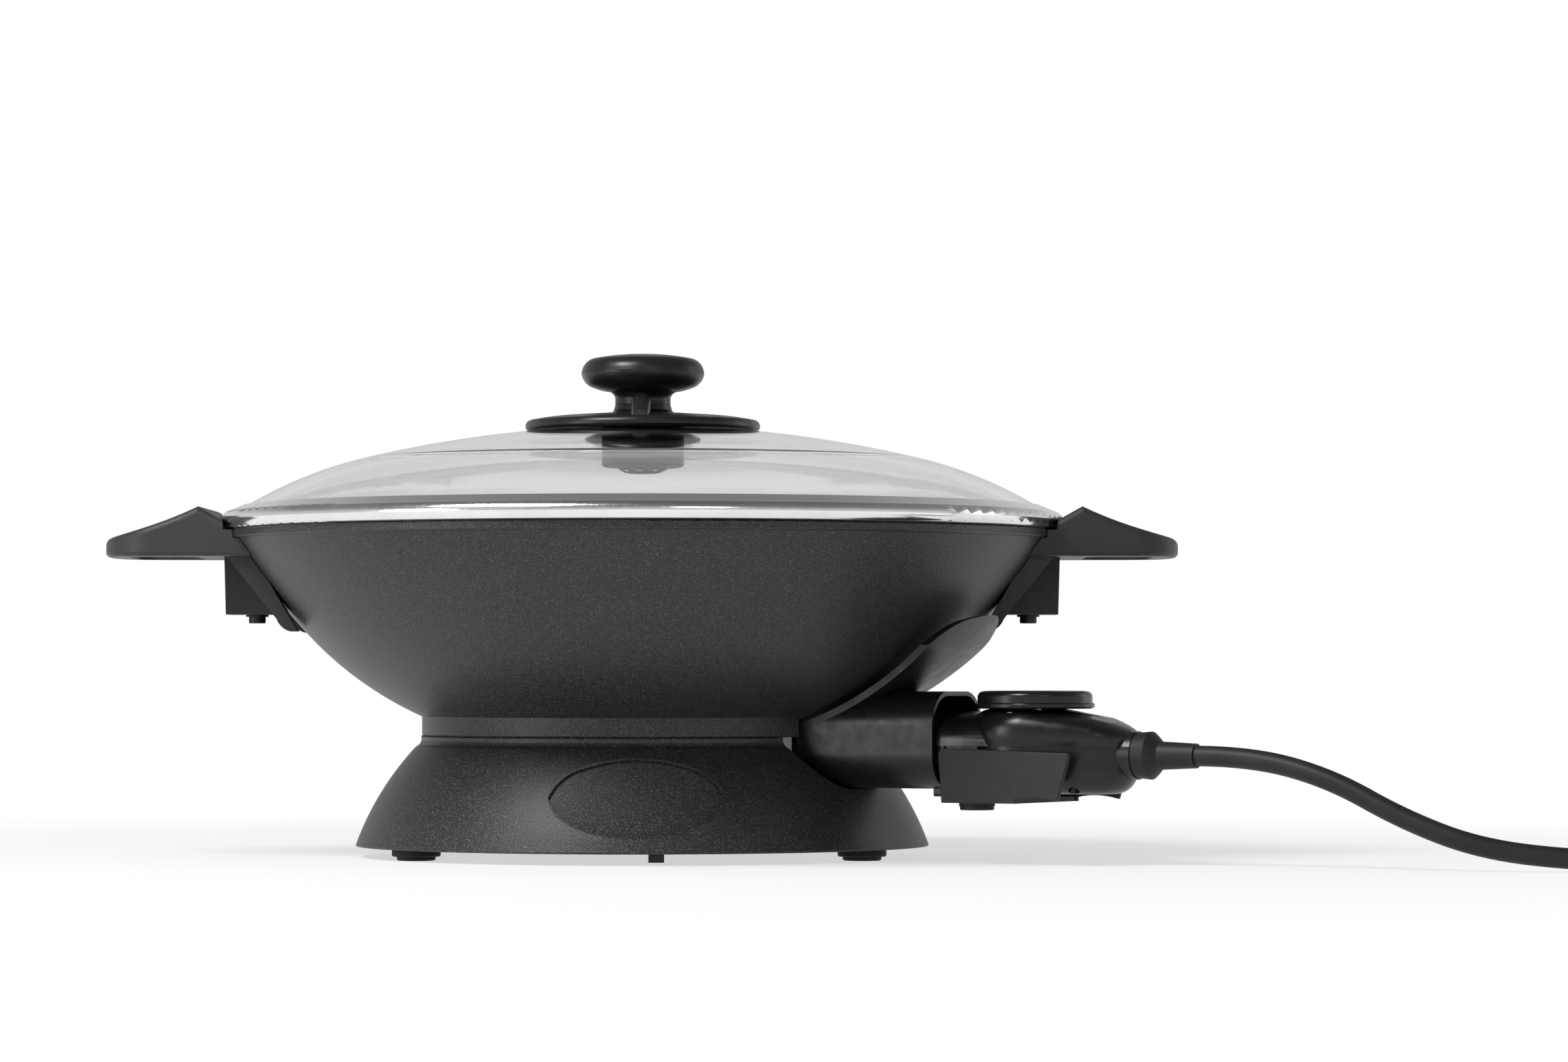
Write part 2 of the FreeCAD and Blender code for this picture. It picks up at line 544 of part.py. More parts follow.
def socket_pair(label, half):
    """Two like turned pieces, one on each pin's line, from half of their outline."""
    piece = Piece(label, "base_top_z", "socket_turn")
    for side in (-1, 1):
        across = f"{side}*pin_half_apart"
        outline = [(x, f"axis_z+{rad}" if rad != 0 else "axis_z") for x, rad in half]
        sketch = piece.sketch("front", outline, at=(0, across))
        spun = sketch_axis(piece, sketch, "axis_z")
        piece.feature("Revolution", Profile=sketch, ReferenceAxis=spun, Angle=360.0)
    return piece


def sketch_axis(piece, sketch, height):
    """A construction line along a section sketch at a height, for a spin about it."""
    line = Part.LineSegment(Vector(0, measure(height), 0), Vector(200, measure(height), 0))
    number = sketch.addGeometry(line, True)
    sketch.addConstraint(Sketcher.Constraint("Horizontal", number))
    pin_down(sketch, number, 1, 0, height)
    sketch.addConstraint(Sketcher.Constraint("DistanceX", number, 1, number, 2, 200))
    doc.recompute()
    return (sketch, ["Axis0"])


def contact_pins():
    socket_pair("contact_pins", [(90.1, 0), (90.1, "pin_rad"), (96, "pin_rad"), (96, 3.4), (98, 3.4),
                                 (98, "pin_rad"), (150.5, "pin_rad"), (152, 1.2), (152, 0)])


def pin_insulators():
    piece = Piece("pin_insulators", "base_top_z", "socket_turn")
    for side in (-1, 1):
        across = f"{side}*pin_half_apart"
        rings = [("circle", across, "axis_z", 5.5), ("circle", across, "axis_z", "pin_rad+0.05")]
        piece.pad(piece.sketch("side", *rings, lift=90.4), 5.5)


def lock_studs():
    """Necked studs under the boss that the lock's keyholes hold."""
    piece = Piece("lock_studs", "base_top_z")
    low = "stud_low_z"
    half = [(0, low), ("stud_rad-0.6", low), ("stud_rad", f"{low}+0.6"), ("stud_rad", f"{low}+1.9"),
            ("stud_neck_rad", f"{low}+2.2"), ("stud_neck_rad", "boss_low_z"), (1.85, "boss_low_z"),
            (1.85, "boss_low_z+6.5"), (0, "boss_low_z+6.5")]
    for side in (-1, 1):
        piece.spin(piece.sketch("front", half, at=(f"{side}*stud_apart/2", 0)))


def socket_shroud():
    """Probe socket: rounded tube with a heat-shield leaf that stands up beside the bowl."""
    piece = Piece("socket_shroud", "base_top_z", "socket_turn")
    middle, top, low, high = flank(9)
    middle_out, top_out, low_out, high_out = flank(12)
    base_in, base_out = flank_foot(1, 4), flank_foot(5, 4)
    leaf = [(base_out, 4), (*middle_out, low_out), (*top_out, high_out), (*top,), (*middle, f"-{high}"),
            (base_in, 4, f"-{low}")]
    piece.spin(piece.sketch("front", leaf, turn=-24), 48.0)
    petal = [(-23.5, 2), (23.5, 2), (24, 20), (31, 43, 80), (12, 54.4, 20), (-12, 51.4, 100), (-25, 41, 24),
             (-24, 24, -90)]
    frame = rectangle(-90, -20, 90, 120)
    piece.pocket(piece.sketch("side", frame, petal, lift=60), 180, Reversed=True)
    half, floor, ceiling = "socket_half_wide", "axis_z+socket_low", "axis_z+socket_top"
    tube = rounded(f"-{half}", floor, half, ceiling, 15)
    piece.pad(piece.sketch("side", tube, lift="socket_back_x"), "socket_mouth_x-socket_back_x")
    heel = [(80, f"{floor}-2"), (102, f"{floor}-2"), (102, floor), ("socket_back_x", f"{floor}+14", -14),
            (80, f"{floor}+14")]
    piece.pocket(piece.sketch("front", heel), 80, **SYMMETRIC)
    ears = [rectangle(EAR_OUT - 5, s * EAR_ACROSS - EAR_HALF, 92, s * EAR_ACROSS + EAR_HALF) for s in (-1, 1)]
    piece.pad(piece.sketch("top", *ears, lift="plate_low_z-3.2"), 3.15)
    tab = rounded(-11, f"{floor}-3.4", 11, f"{floor}+1", 1.2)
    piece.pad(piece.sketch("side", tab, lift="socket_mouth_x-6"), 6)
    inner = rounded(f"-{half}+socket_wall", f"{floor}+socket_wall", f"{half}-socket_wall",
                    f"{ceiling}-socket_wall", 13.2)
    piece.pocket(piece.sketch("side", inner, lift="socket_mouth_x"), "socket_mouth_x-104")
    back = rounded(f"-{half}+4", -15, f"{half}-4", 30, 5)
    piece.pocket(piece.sketch("side", back, lift=105), 14.6)
    way = rounded(-8.2, -10.4, 8.2, 30, 4)
    piece.pocket(piece.sketch("side", way, lift=105), 20)
    pins = [("circle", f"{s}*pin_half_apart", "axis_z", 5.6) for s in (-1, 1)]
    piece.pocket(piece.sketch("side", *pins, lift=105), 20)
    piece.groove(piece.sketch("front", bowl_room(0.05)))
    holes = [("circle", EAR_OUT, s * EAR_ACROSS, 1.7) for s in (-1, 1)]
    piece.pocket(piece.sketch("top", *holes, lift="plate_low_z-5"), 6, Reversed=True)


def shroud_screws():
    piece = Piece("shroud_screws", "base_top_z", "socket_turn")
    for side in (-1, 1):
        half = [(0, -6.4), (2.2, -6.4), (2.8, -5.8), (2.8, -4.2), (1.25, -4.2), (1.25, 1), (0, 1)]
        piece.spin(piece.sketch("front", half, at=(EAR_OUT, side * EAR_ACROSS)))


def earth_spring():
    """Bowed strip at the side of the socket that touches the probe's earth plate."""
    piece = Piece("earth_spring", "base_top_z", "socket_turn")
    bow = [(104.5, -21.35), (152, -21.35), (152, -20.8), (144, -20.8), (130, -19.7, 90), (112, -20.8, 147),
           (104.5, -20.8)]
    piece.pad(piece.sketch("top", bow, lift="axis_z-3"), 6)


def handle_plan():
    """Plan of a handle: straight sides, well rounded corners and a slightly bowed end."""
    tip = "handle_tip_x"
    corner, end_bow = 26.0, 139.5
    return [(172, -50), (f"{tip}-25.4", -45.6), (f"{tip}-2.12", -24.2, corner), (tip, 0, end_bow),
            (f"{tip}-2.12", 24.2, end_bow), (f"{tip}-25.4", 45.6, corner), (172, 50)]


def handle(label, turn):
    """Heat-proof loop handle: gabled bar with softened edges, finger hole, two swept legs, screwed block."""
    piece = Piece(label, "base_top_z", turn)
    low = "bar_low_z-2.6"
    piece.pad(piece.sketch("top", handle_plan(), lift=low), 26)
    above = [(178, 91.6), ("handle_apex_x", "handle_apex_z"), ("handle_tip_x-3", 89.8, 190), (260, 85),
             (260, 120), (150, 120), (150, 91.6)]
    piece.pocket(piece.sketch("front", above), 160, **SYMMETRIC)
    floor = measure(low)
    piece.soften(3.2, lambda middle, edge: middle.z > 90 and abs(middle.y) > 20 and middle.x > 180
                 or middle.z > floor + 3 and middle.x > 243)
    piece.soften(2.2, lambda middle, edge: abs(middle.z - floor) < 0.01 and middle.x > 175)
    hole = rounded(203, -28, 234, 28, 9)
    piece.pocket(piece.sketch("top", hole, lift=70), 60, Reversed=True)
    leg = [(155, 47.4), (158.4, 47.4), (164.4, 53, 9), (186.4, 80.4), (191, 84, 9), (196, 84), (196, 90),
           (180, 91)]
    for side in (-1, 1):
        piece.pad(piece.sketch("front", leg, lift=side * 38), 13, **SYMMETRIC)
    block = [(166, 55.4), (190.6, 55.4), (191.4, 84), (203, 88), (176, 92)]
    piece.pad(piece.sketch("front", block), 26, **SYMMETRIC)
    lug = [(160, 61.8), (186.3, 61.8), (186.3, 80.3), (160, 80.3)]
    piece.pocket(piece.sketch("front", lug), 18.6, **SYMMETRIC)
    screw = ("circle", HANDLE_SCREW_X, 0, 2.3)
    piece.pocket(piece.sketch("top", screw, lift=50), 14, Reversed=True)
    piece.groove(piece.sketch("front", bowl_room(0.3)))
    bead = [(0, "rim_z-0.6"), ("bead_rad+1", "rim_z-0.6"), ("bead_rad+1", "rim_z+30"), (0, "rim_z+30")]
    piece.groove(piece.sketch("front", bead))


def handles():
    handle("handle_right", 0)
    handle("handle_left", 180)


def handle_screws():
    piece = Piece("handle_screws", "base_top_z")
    for side in (-1, 1):
        half = screw_outline(3.9, 51.4, 54.4, 1.85, 73)
        piece.spin(piece.sketch("front", half, at=(side * HANDLE_SCREW_X, 0)))


def handle_washers():
    piece = Piece("handle_washers", "base_top_z")
    for side in (-1, 1):
        ring = rectangle(2.1, 54.4, 5.2, 55.4)
        piece.spin(piece.sketch("front", ring, at=(side * HANDLE_SCREW_X, 0)))


# ---------------------------------------------------------------- lid


LID = "base_top_z+rim_z"


def dome(depth):
    """A surface of the glass at a depth under its outside: break point, edge point and both bends."""
    crown, shoulder = f"(dome_rad-({depth}))", f"(shoulder_bend-({depth}))"
    apart = "(dome_rad-shoulder_bend)"
    foot = "(glass_top_z-dome_rad)"
    broken = (f"{crown}*sin(dome_break_turn)", f"{foot}+{crown}*cos(dome_break_turn)")
    edge = (f"{apart}*sin(dome_break_turn)+{shoulder}*sin(glass_edge_turn)",
            f"{foot}+{apart}*cos(dome_break_turn)+{shoulder}*cos(glass_edge_turn)")
    return broken, edge, crown, shoulder


def crown_height(rad, depth=0):
    """Height of the glass at a radius inside the crown."""
    return f"glass_top_z-dome_rad+sqrt((dome_rad-({depth}))^2-({rad})^2)"


def lid_glass():
    piece = Piece("lid_glass", LID)
    broken, edge, crown, shoulder = dome(0)
    broken_in, edge_in, crown_in, shoulder_in = dome("glass_thick")
    sheet = [(8.2, crown_height(8.2, "glass_thick")), (*broken_in, f"-{crown_in}"),
             (*edge_in, f"-{shoulder_in}"), edge, (*broken, shoulder), (8.2, crown_height(8.2), crown)]
    piece.spin(piece.sketch("front", sheet))


def lid_rim_band():
    """Rolled steel band round the glass: bead that rests on the bowl and a flange that drops inside it."""
    piece = Piece("lid_rim_band", LID)
    bead = [("flange_rad-2.9", "-flange_deep"), ("flange_rad-2", "-flange_deep"), ("flange_rad", -0.2),
            ("flange_rad+1.4", 0), ("bead_rad-4.2", 0), ("bead_rad", 4.1, 4.3), ("bead_rad-3.6", 8.4, 4.6),
            (184.6, 10.6), (182.9, 11.3), (182.5, 10.3), (184.8, 9.3), (184.8, 2.2),
            ("flange_rad-0.9", 0.4)]
    piece.spin(piece.sketch("front", bead))


def lid_seal():
    """Silicone channel between the glass edge and the band."""
    piece = Piece("lid_seal", LID)
    channel = [(182.2, 2.1), (184.7, 2.5), (184.7, 9.1), (182.6, 10.1), (182.25, 10.45), (180.2, 7.05),
               (176.6, 9.0), (176.0, 7.6), (179.2, 4.5)]
    piece.spin(piece.sketch("front", channel))


def vent_gasket():
    piece = Piece("vent_gasket", LID)
    ring = [(7.9, "glass_top_z+0.05"), (27, 47.5), (27, 49), (7.9, 49)]
    piece.spin(piece.sketch("front", ring))


def vent_ring():
    """Steam vent disc that turns about the knob's stem by its fin."""
    piece = Piece("vent_ring", LID)
    rad = "vent_disc_rad"
    disc = [(7.8, 49.1), (27.4, 49.1), (28.4, 47.8), (f"{rad}-1.2", f"{crown_height(52)}+0.5"),
            (rad, 47.4, 1.8), (rad, 48.6), (f"{rad}-2.6", 50.9, 2.8), (34, 53, 120), (17, 54.2),
            (13.4, 55.6, -3), (12.75, 58), (7.8, 58)]
    fin = [(14.5, 53), (50.5, 50.2), (49, 53.5), (36, 60.2), (20, 63), (14.5, 60.5)]
    piece.pad(piece.sketch("front", fin, turn=-90), 8, **SYMMETRIC)
    piece.soften(3.4, lambda middle, edge: middle.z > 52.5 and abs(abs(middle.x) - 4) < 0.01)
    piece.spin(piece.sketch("front", disc))
    outlet = ("circle", 21, 0, 2.2)
    piece.pocket(piece.sketch("top", outlet, lift=60, turn=90), 14)


def vent_collar():
    """Stem through the glass, with steam passages, and the flange under it that holds the strainer."""
    piece = Piece("vent_collar", LID)
    stem = [(2.7, 39.9), (12.9, 39.9), (12.9, 33.6), (18, 33.6), (19, 34.6), (19, 43.6), (7.7, 43.9),
            (7.7, 58.1), (2.7, 58.1)]
    piece.spin(piece.sketch("front", stem))
    passage = ("circle", 5.2, 0, 1.3)
    first = piece.pocket(piece.sketch("top", passage, lift=60), 24)
    piece.around([first], 4)


def vent_strainer():
    """Perforated bowl-shaped strainer under the collar."""
    piece = Piece("vent_strainer", LID)
    flat, bend = 5.5, 7.875
    cup = [(0, 29.8), (flat, 29.8), (12.75, 34.6, bend), (12.75, 39.8), (11.95, 39.8), (11.95, 34.77),
           (flat, 30.6, 0.8 - bend), (0, 30.6)]
    piece.spin(piece.sketch("front", cup))
    hole = ("circle", 10.4, 0, 1.6)
    first = piece.pocket(piece.sketch("top", hole, lift=35, turn=-97), 6)
    piece.around([first], 8)


def knob_screw():
    piece = Piece("knob_screw", LID)
    half = [(0, 36.4), (4, 36.4), (4.6, 37.2), (4.6, 39.8), (2.5, 39.8), (2.5, 68.6), (1.6, 69.6), (0, 69.6)]
    piece.spin(piece.sketch("front", half))


def knob_body():
    """Lower half of the knob, from the neck to its widest line."""
    piece = Piece("knob_body", LID)
    wide = "knob_rad"
    half = [(2.55, 58.15), (12.75, 58.15), (12.75, 61), (16.5, 64.2, -4), (24.5, 66.6, 30), (wide, 72, 8),
            (wide, 73), (15.1, 73), (15.1, 71.4), (0, 71.4), (0, 70), (2.55, 70)]
    piece.spin(piece.sketch("front", half))


def knob_cap():
    piece = Piece("knob_cap", LID)
    wide = "knob_rad"
    half = [(0, 71.5), (15, 71.5), (15, 73.05), (wide, 73.05), (f"{wide}-0.3", 74.2),
            (f"{wide}-5.2", 79.3, 7), (6, "knob_top_z", 110), (0, "knob_top_z")]
    piece.spin(piece.sketch("front", half))


# ---------------------------------------------------------------- thermostat probe


PROBE = "base_top_z+axis_z"
SEAM = -1.5
SKIN = 2.2
TAIL_X, TAIL_RAD = 232.0, 20.0
NOSE_HALF, NOSE_HIGH, NOSE_LOW = 19.5, 12.3, -17.0
LOBE_HALF, LOBE_HIGH, LOBE_BACK_X = 21.5, 13.0, 196.0
CROWN_HIGH, CROWN_BEND, KEEL_BEND = 14.6, 8.0, 10.0
NECK_FRONT_X, NECK_RAD = 238.0, 10.6
POST_X, POST_Y, POST_RAD = 230.0, 15.5, 3.0
PIVOT_X, PIVOT_Z = 190.0, -12.0
FOOT_X = 174.0
CHEEK_OUT, FLOOR_LOW, FLOOR_THICK = 31.1, -26.4, 2.2
GLAND_Z = -5.4
SLEEVE_RAD = 3.9
SCREW_RAD = 1.1


def probe_piece(label):
    return Piece(label, PROBE, "socket_turn")


def pebble_plan(inset):
    """Plan of the probe's body: the round drum under the dial run together with the smaller round tail."""
    drum, tail = f"(body_half_wide-{inset})", f"({TAIL_RAD}-{inset})"
    lean = math.asin((measure("body_half_wide") - TAIL_RAD) / (TAIL_X - measure("dial_x")))
    along, across = math.sin(lean), math.cos(lean)
    drum_side = (f"dial_x+{drum}*{along}", f"{drum}*{across}")
    tail_side = (f"{TAIL_X}+{tail}*{along}", f"{tail}*{across}")
    return [(drum_side[0], f"-{drum_side[1]}", drum), (tail_side[0], f"-{tail_side[1]}"),
            (f"{TAIL_X}+{tail}", 0, tail), (*tail_side, tail), drum_side, (f"dial_x-{drum}", 0, drum)]


def hood_section(half, high, bend):
    """Section above the seam: upright sides and a top with rounded corners."""
    return [(half, SEAM), (half, high - bend), (half - bend, high, bend), (bend - half, high),
            (-half, high - bend, bend), (-half, SEAM)]


def trough_section(half, low, bend):
    """Section below the seam: upright sides and a bottom with rounded corners."""
    return [(half - bend, low), (half, low + bend, bend), (half, SEAM), (-half, SEAM),
            (-half, low + bend), (bend - half, low, bend)]


def block(piece, section, front, back, bend):
    """A length of housing with this section, its front rim rounded over."""
    piece.pad(piece.sketch("side", section, lift=front), f"{back}-({front})")
    face = measure(front)

    def on_rim(middle, edge):
        return abs(middle.x - face) < 0.01 and abs(middle.z - SEAM) > 0.01 and edge.Length > 0.5
    piece.soften(bend, on_rim)


def front_ways(rad):
    """Rounds for the rod and, of a radius rad, for the two contact sleeves."""
    sleeves = [("circle", f"{side}*pin_half_apart", 0, rad) for side in (-1, 1)]
    return sleeves + [("circle", 0, 0, "rod_rad+0.1")]


def housing_openings(piece):
    """Front holes for the rod and the socket's pins, and the neck's bore for the cord gland."""
    piece.pocket(piece.sketch("side", *front_ways(4.3), lift="nose_front_x-1"), 4, Reversed=True)
    ways = front_ways(SLEEVE_RAD + 0.05)
    piece.pocket(piece.sketch("side", *ways, lift="nose_front_x-1"), 9, Reversed=True)
    piece.pocket(piece.sketch("side", ("circle", 0, GLAND_Z, 7.1), lift="body_back_x+1"), 8)
    piece.pocket(piece.sketch("side", ("circle", 0, GLAND_Z, 8.2), lift="body_back_x-5"), 9)


def probe_housing_lower():
    """Lower shell: keeled body, nose, lobe, neck for the gland, cradle for rod and sleeves, posts."""
    piece = probe_piece("probe_housing_lower")
    piece.pad(piece.sketch("top", pebble_plan(0.6), lift="body_low"), f"{SEAM}-body_low")
    low = measure("body_low")
    piece.soften(KEEL_BEND, lambda middle, edge: abs(middle.z - low) < 0.01)
    block(piece, trough_section(LOBE_HALF - 0.6, -21.6, 6), "body_front_x+0.6", LOBE_BACK_X, 4)
    block(piece, trough_section(NOSE_HALF, NOSE_LOW, 10), "nose_front_x", 172, 8)
    reach = math.sqrt(NECK_RAD ** 2 - (SEAM - GLAND_Z) ** 2)
    neck = [(-reach, SEAM), (0, GLAND_Z - NECK_RAD, NECK_RAD), (reach, SEAM, NECK_RAD)]
    piece.pad(piece.sketch("side", neck, lift=NECK_FRONT_X), f"body_back_x-{NECK_FRONT_X}")
    piece.pocket(piece.sketch("top", pebble_plan(0.6 + SKIN), lift=SEAM), 13)
    piece.pocket(piece.sketch("top", pebble_plan(8.6), lift=SEAM), f"{SEAM}-body_low-2.4")
    piece.pocket(piece.sketch("side", trough_section(NOSE_HALF - SKIN, NOSE_LOW + SKIN, 7), lift=190), 50)
    cradle = trough_section(NOSE_HALF - 1, NOSE_LOW + 1, 9)
    piece.pad(piece.sketch("side", cradle, lift=147), 3)
    piece.pocket(piece.sketch("side", *front_ways(SLEEVE_RAD + 0.05), lift=146), 5, Reversed=True)
    for side in (-1, 1):
        post = ("circle", POST_X, side * POST_Y, POST_RAD)
        piece.pad(piece.sketch("top", post, lift=-17), f"{SEAM}+17")
        hole = ("circle", POST_X, side * POST_Y, SCREW_RAD + 0.2)
        piece.pocket(piece.sketch("top", hole, lift=-30), 32, Reversed=True)
        sink = ("circle", POST_X, side * POST_Y, 2.5)
        piece.pocket(piece.sketch("top", sink, lift=-30), 13, Reversed=True)
        seat = ("circle", PIVOT_X, PIVOT_Z, 3.62)
        piece.pocket(piece.sketch("front", seat, lift=side * 25), 8, **SYMMETRIC)
    housing_openings(piece)


def round_off(piece, plane, outline):
    """Cuts away what lies outside an outline, seen along the plane's normal."""
    frame = rectangle(-400, -60, 400, 90)
    piece.pocket(piece.sketch(plane, frame, outline), 700, **SYMMETRIC)


def probe_housing_upper():
    """Upper shell: crowned body that falls away to the tail, lobe, nose and neck."""
    piece = probe_piece("probe_housing_upper")
    piece.pad(piece.sketch("top", pebble_plan(0), lift=SEAM), CROWN_HIGH - SEAM)
    piece.soften(CROWN_BEND, lambda middle, edge: abs(middle.z - CROWN_HIGH) < 0.01)
    round_off(piece, "front", [(120, -20), (262, -20), (262, 2), (214, 16, 64), (214, 30), (120, 30)])
    block(piece, hood_section(LOBE_HALF, LOBE_HIGH, 9), "body_front_x", LOBE_BACK_X, 7.5)
    block(piece, hood_section(NOSE_HALF, NOSE_HIGH, 8), "nose_front_x", 172, 7)
    reach = math.sqrt(NECK_RAD ** 2 - (SEAM - GLAND_Z) ** 2)
    neck = [(reach, SEAM), (-reach, SEAM, NECK_RAD)]
    piece.pad(piece.sketch("side", neck, lift=NECK_FRONT_X), f"body_back_x-{NECK_FRONT_X}")
    piece.pocket(piece.sketch("top", pebble_plan(SKIN), lift=SEAM), 6.5, Reversed=True)
    piece.pocket(piece.sketch("top", pebble_plan(8.4), lift=SEAM), 10, Reversed=True)
    drum = ("circle", "dial_x", 0, "body_half_wide-6.4")
    piece.pocket(piece.sketch("top", drum, lift=SEAM), 13.9, Reversed=True)
    piece.pocket(piece.sketch("side", hood_section(NOSE_HALF - SKIN, NOSE_HIGH - SKIN, 6), lift=190), 50)
    spindle = ("circle", "dial_x", 0, 3.3)
    piece.pocket(piece.sketch("top", spindle, lift=16), 10)
    for side in (-1, 1):
        post = ("circle", POST_X, side * POST_Y, POST_RAD)
        piece.pad(piece.sketch("top", post, lift=SEAM), 8)
        hole = ("circle", POST_X, side * POST_Y, SCREW_RAD + 0.05)
        piece.pocket(piece.sketch("top", hole, lift=SEAM), 6, Reversed=True)
    housing_openings(piece)


def housing_screws():
    """Screws up through the lower shell's posts into the upper ones."""
    piece = probe_piece("housing_screws")
    half = [(0, -18.8), (2.2, -18.8), (2.2, -17), (SCREW_RAD, -17), (SCREW_RAD, 3), (0, 4)]
    for side in (-1, 1):
        piece.spin(piece.sketch("front", half, at=(POST_X, side * POST_Y)))


def sensor_rod():
    """Temperature feeler: a thin tube with a turned tip."""
    piece = probe_piece("sensor_rod")
    tip = "rod_tip_x"
    half = [(tip, 0), (tip, 1.6), (f"{tip}+1.2", 2.4), (f"{tip}+5", "rod_rad"), (150, "rod_rad"), (150, 0)]
    piece.spin(piece.sketch("front", half[::-1]), axis="H_Axis")


def contact_sleeves():
    """Sprung tubes that the socket's pins slide into."""
    piece = probe_piece("contact_sleeves")
    for side in (-1, 1):
        across = f"{side}*pin_half_apart"
        rings = [("circle", across, 0, SLEEVE_RAD), ("circle", across, 0, "pin_rad+0.15")]
        piece.pad(piece.sketch("side", *rings, lift=136.6), 20)
        plug = ("circle", across, 0, SLEEVE_RAD)
        piece.pad(piece.sketch("side", plug, lift=156.5), 3)
        tail = rectangle(f"{across}-2.5", -0.6, f"{across}+2.5", 0.6)
        piece.pad(piece.sketch("side", tail, lift=159), 22)


def switch_frame():
    """Bracket that carries the rod's end, the switch and the spindle's bush."""
    piece = probe_piece("switch_frame")
    plate = [(150.1, -9), (196, -9), (212, -9), (212, 9), (150.1, 9)]
    piece.pad(piece.sketch("top", plate, lift=6), 1.5)
    cheek = rectangle(-9, -6, 9, 6.5)
    piece.pad(piece.sketch("side", cheek, lift=150.1), 2)
    bush = ("circle", "dial_x", 0, 5)
    piece.pad(piece.sketch("top", bush, lift=6), 6.4)
    bore = ("circle", "dial_x", 0, 3.06)
    piece.pocket(piece.sketch("top", bore, lift=14), 12)


def switch_blade():
    """Bimetal contact blade that the cam bends."""
    piece = probe_piece("switch_blade")
    strip = [(168, -7.4), (212, -8.6), (212, -8.1), (190, -7.3), (168, -6.9)]
    piece.pad(piece.sketch("front", strip), 7, **SYMMETRIC)
    foot = rectangle(164, -14.8, 170, -5.6)
    piece.pad(piece.sketch("front", foot), 9, **SYMMETRIC)


def control_cam():
    piece = probe_piece("control_cam")
    drum = [(3.0, -6.4), (8.5, -6.4), (8.5, -1.5), (3.0, -1.5)]
    piece.spin(piece.sketch("front", drum, at=("dial_x", 0)))
    ridge = [(3.2, -6.9), (7.8, -6.9), (7.8, -6.2), (3.2, -6.2)]
    piece.spin(piece.sketch("front", ridge, at=("dial_x", 0), turn=20), 200.0)


def control_spindle():
    piece = probe_piece("control_spindle")
    half = [(0, -7.6), (2.96, -7.6), (2.96, 19.6), (2.4, 20.2), (0, 20.2)]
    piece.spin(piece.sketch("front", half, at=("dial_x", 0)))
    flat = rectangle(2.2, 14.7, 5, 21)
    piece.pocket(piece.sketch("front", flat, at=("dial_x", 0)), 12, **SYMMETRIC)


def dial_knob():
    """Temperature dial: skirt ring and a low disc with a rounded edge and a dished top."""
    piece = probe_piece("dial_knob")
    rad = "dial_rad"
    half = [(3.0, 14.9), (f"{rad}-0.2", 14.9), (f"{rad}+0.9", 15.6), (f"{rad}+0.9", 16.8),
            (f"{rad}-0.1", 17.5, 1.2), (f"{rad}-0.1", 20.2), (f"{rad}-2.6", 22.6, 2.6), (f"{rad}-4.4", 22.8),
            (f"{rad}-6", 22.2, 3), (12, 21.5), (0, 21.4), (0, 20.3), (3.0, 20.3)]
    piece.spin(piece.sketch("front", half, at=("dial_x", 0)))


def terminal_block():
    piece = probe_piece("terminal_block")
    block = rectangle(216, -11, 229, 11)
    piece.pad(piece.sketch("top", block, lift="body_low+2.4"), 14)
    ways = [("circle", y, -9, 1.6) for y in (-7, 0, 7)]
    piece.pocket(piece.sketch("side", *ways, lift=230), 15)


def cord_clamp():
    piece = probe_piece("cord_clamp")
    saddle = rectangle(-5.8, "body_low+2.4", 5.8, GLAND_Z - 0.4)
    piece.pad(piece.sketch("side", saddle, lift=235.5), 4)
    cord = ("circle", 0, GLAND_Z, "cord_rad+0.05")
    piece.pocket(piece.sketch("side", cord, lift=235), 5, Reversed=True)


def release_lever():
    """Saddle under the probe: two cheeks with slanted tails and a short floor with a round toe."""
    piece = probe_piece("release_lever")
    cheek = [(172.5, FLOOR_LOW), (209, FLOOR_LOW), (209, -24.6), (229.6, -25.2, -45), (235.3, -5.6),
             (233.8, -4.2, 1.5), (174, -2.5), (171, -5.2, 3)]
    for side in (-1, 1):
        piece.pad(piece.sketch("front", cheek, lift=side * 29.9), 2.4, **SYMMETRIC)
    floor = rectangle(173, 1 - CHEEK_OUT, 208.5, CHEEK_OUT - 1)
    piece.pad(piece.sketch("top", floor, lift=FLOOR_LOW), FLOOR_THICK)
    piece.soften(0.6, lambda middle, edge: abs(abs(middle.y) - CHEEK_OUT) < 0.01)
    toe = ("circle", FOOT_X, 0, 8.2)
    piece.pad(piece.sketch("top", toe, lift=FLOOR_LOW), FLOOR_THICK)
    well = ("circle", FOOT_X, 0, 6.1)
    piece.pocket(piece.sketch("top", well, lift=FLOOR_LOW - 1), FLOOR_THICK + 2, Reversed=True)
    pivot = ("circle", PIVOT_X, PIVOT_Z, 2.05)
    piece.pocket(piece.sketch("front", pivot), 2 * CHEEK_OUT - 1.6, **SYMMETRIC)


def lever_foot():
    """Round cup under the lever's toe that holds the return spring."""
    piece = probe_piece("lever_foot")
    half = [(0, -30.2), (7.0, -30.2), (7.6, -29.6, 0.6), (7.6, -28.6), (8, -28.4), (8, FLOOR_LOW),
            (6.0, FLOOR_LOW), (6.0, -29), (0, -29)]
    piece.spin(piece.sketch("front", half, at=(FOOT_X, 0)))


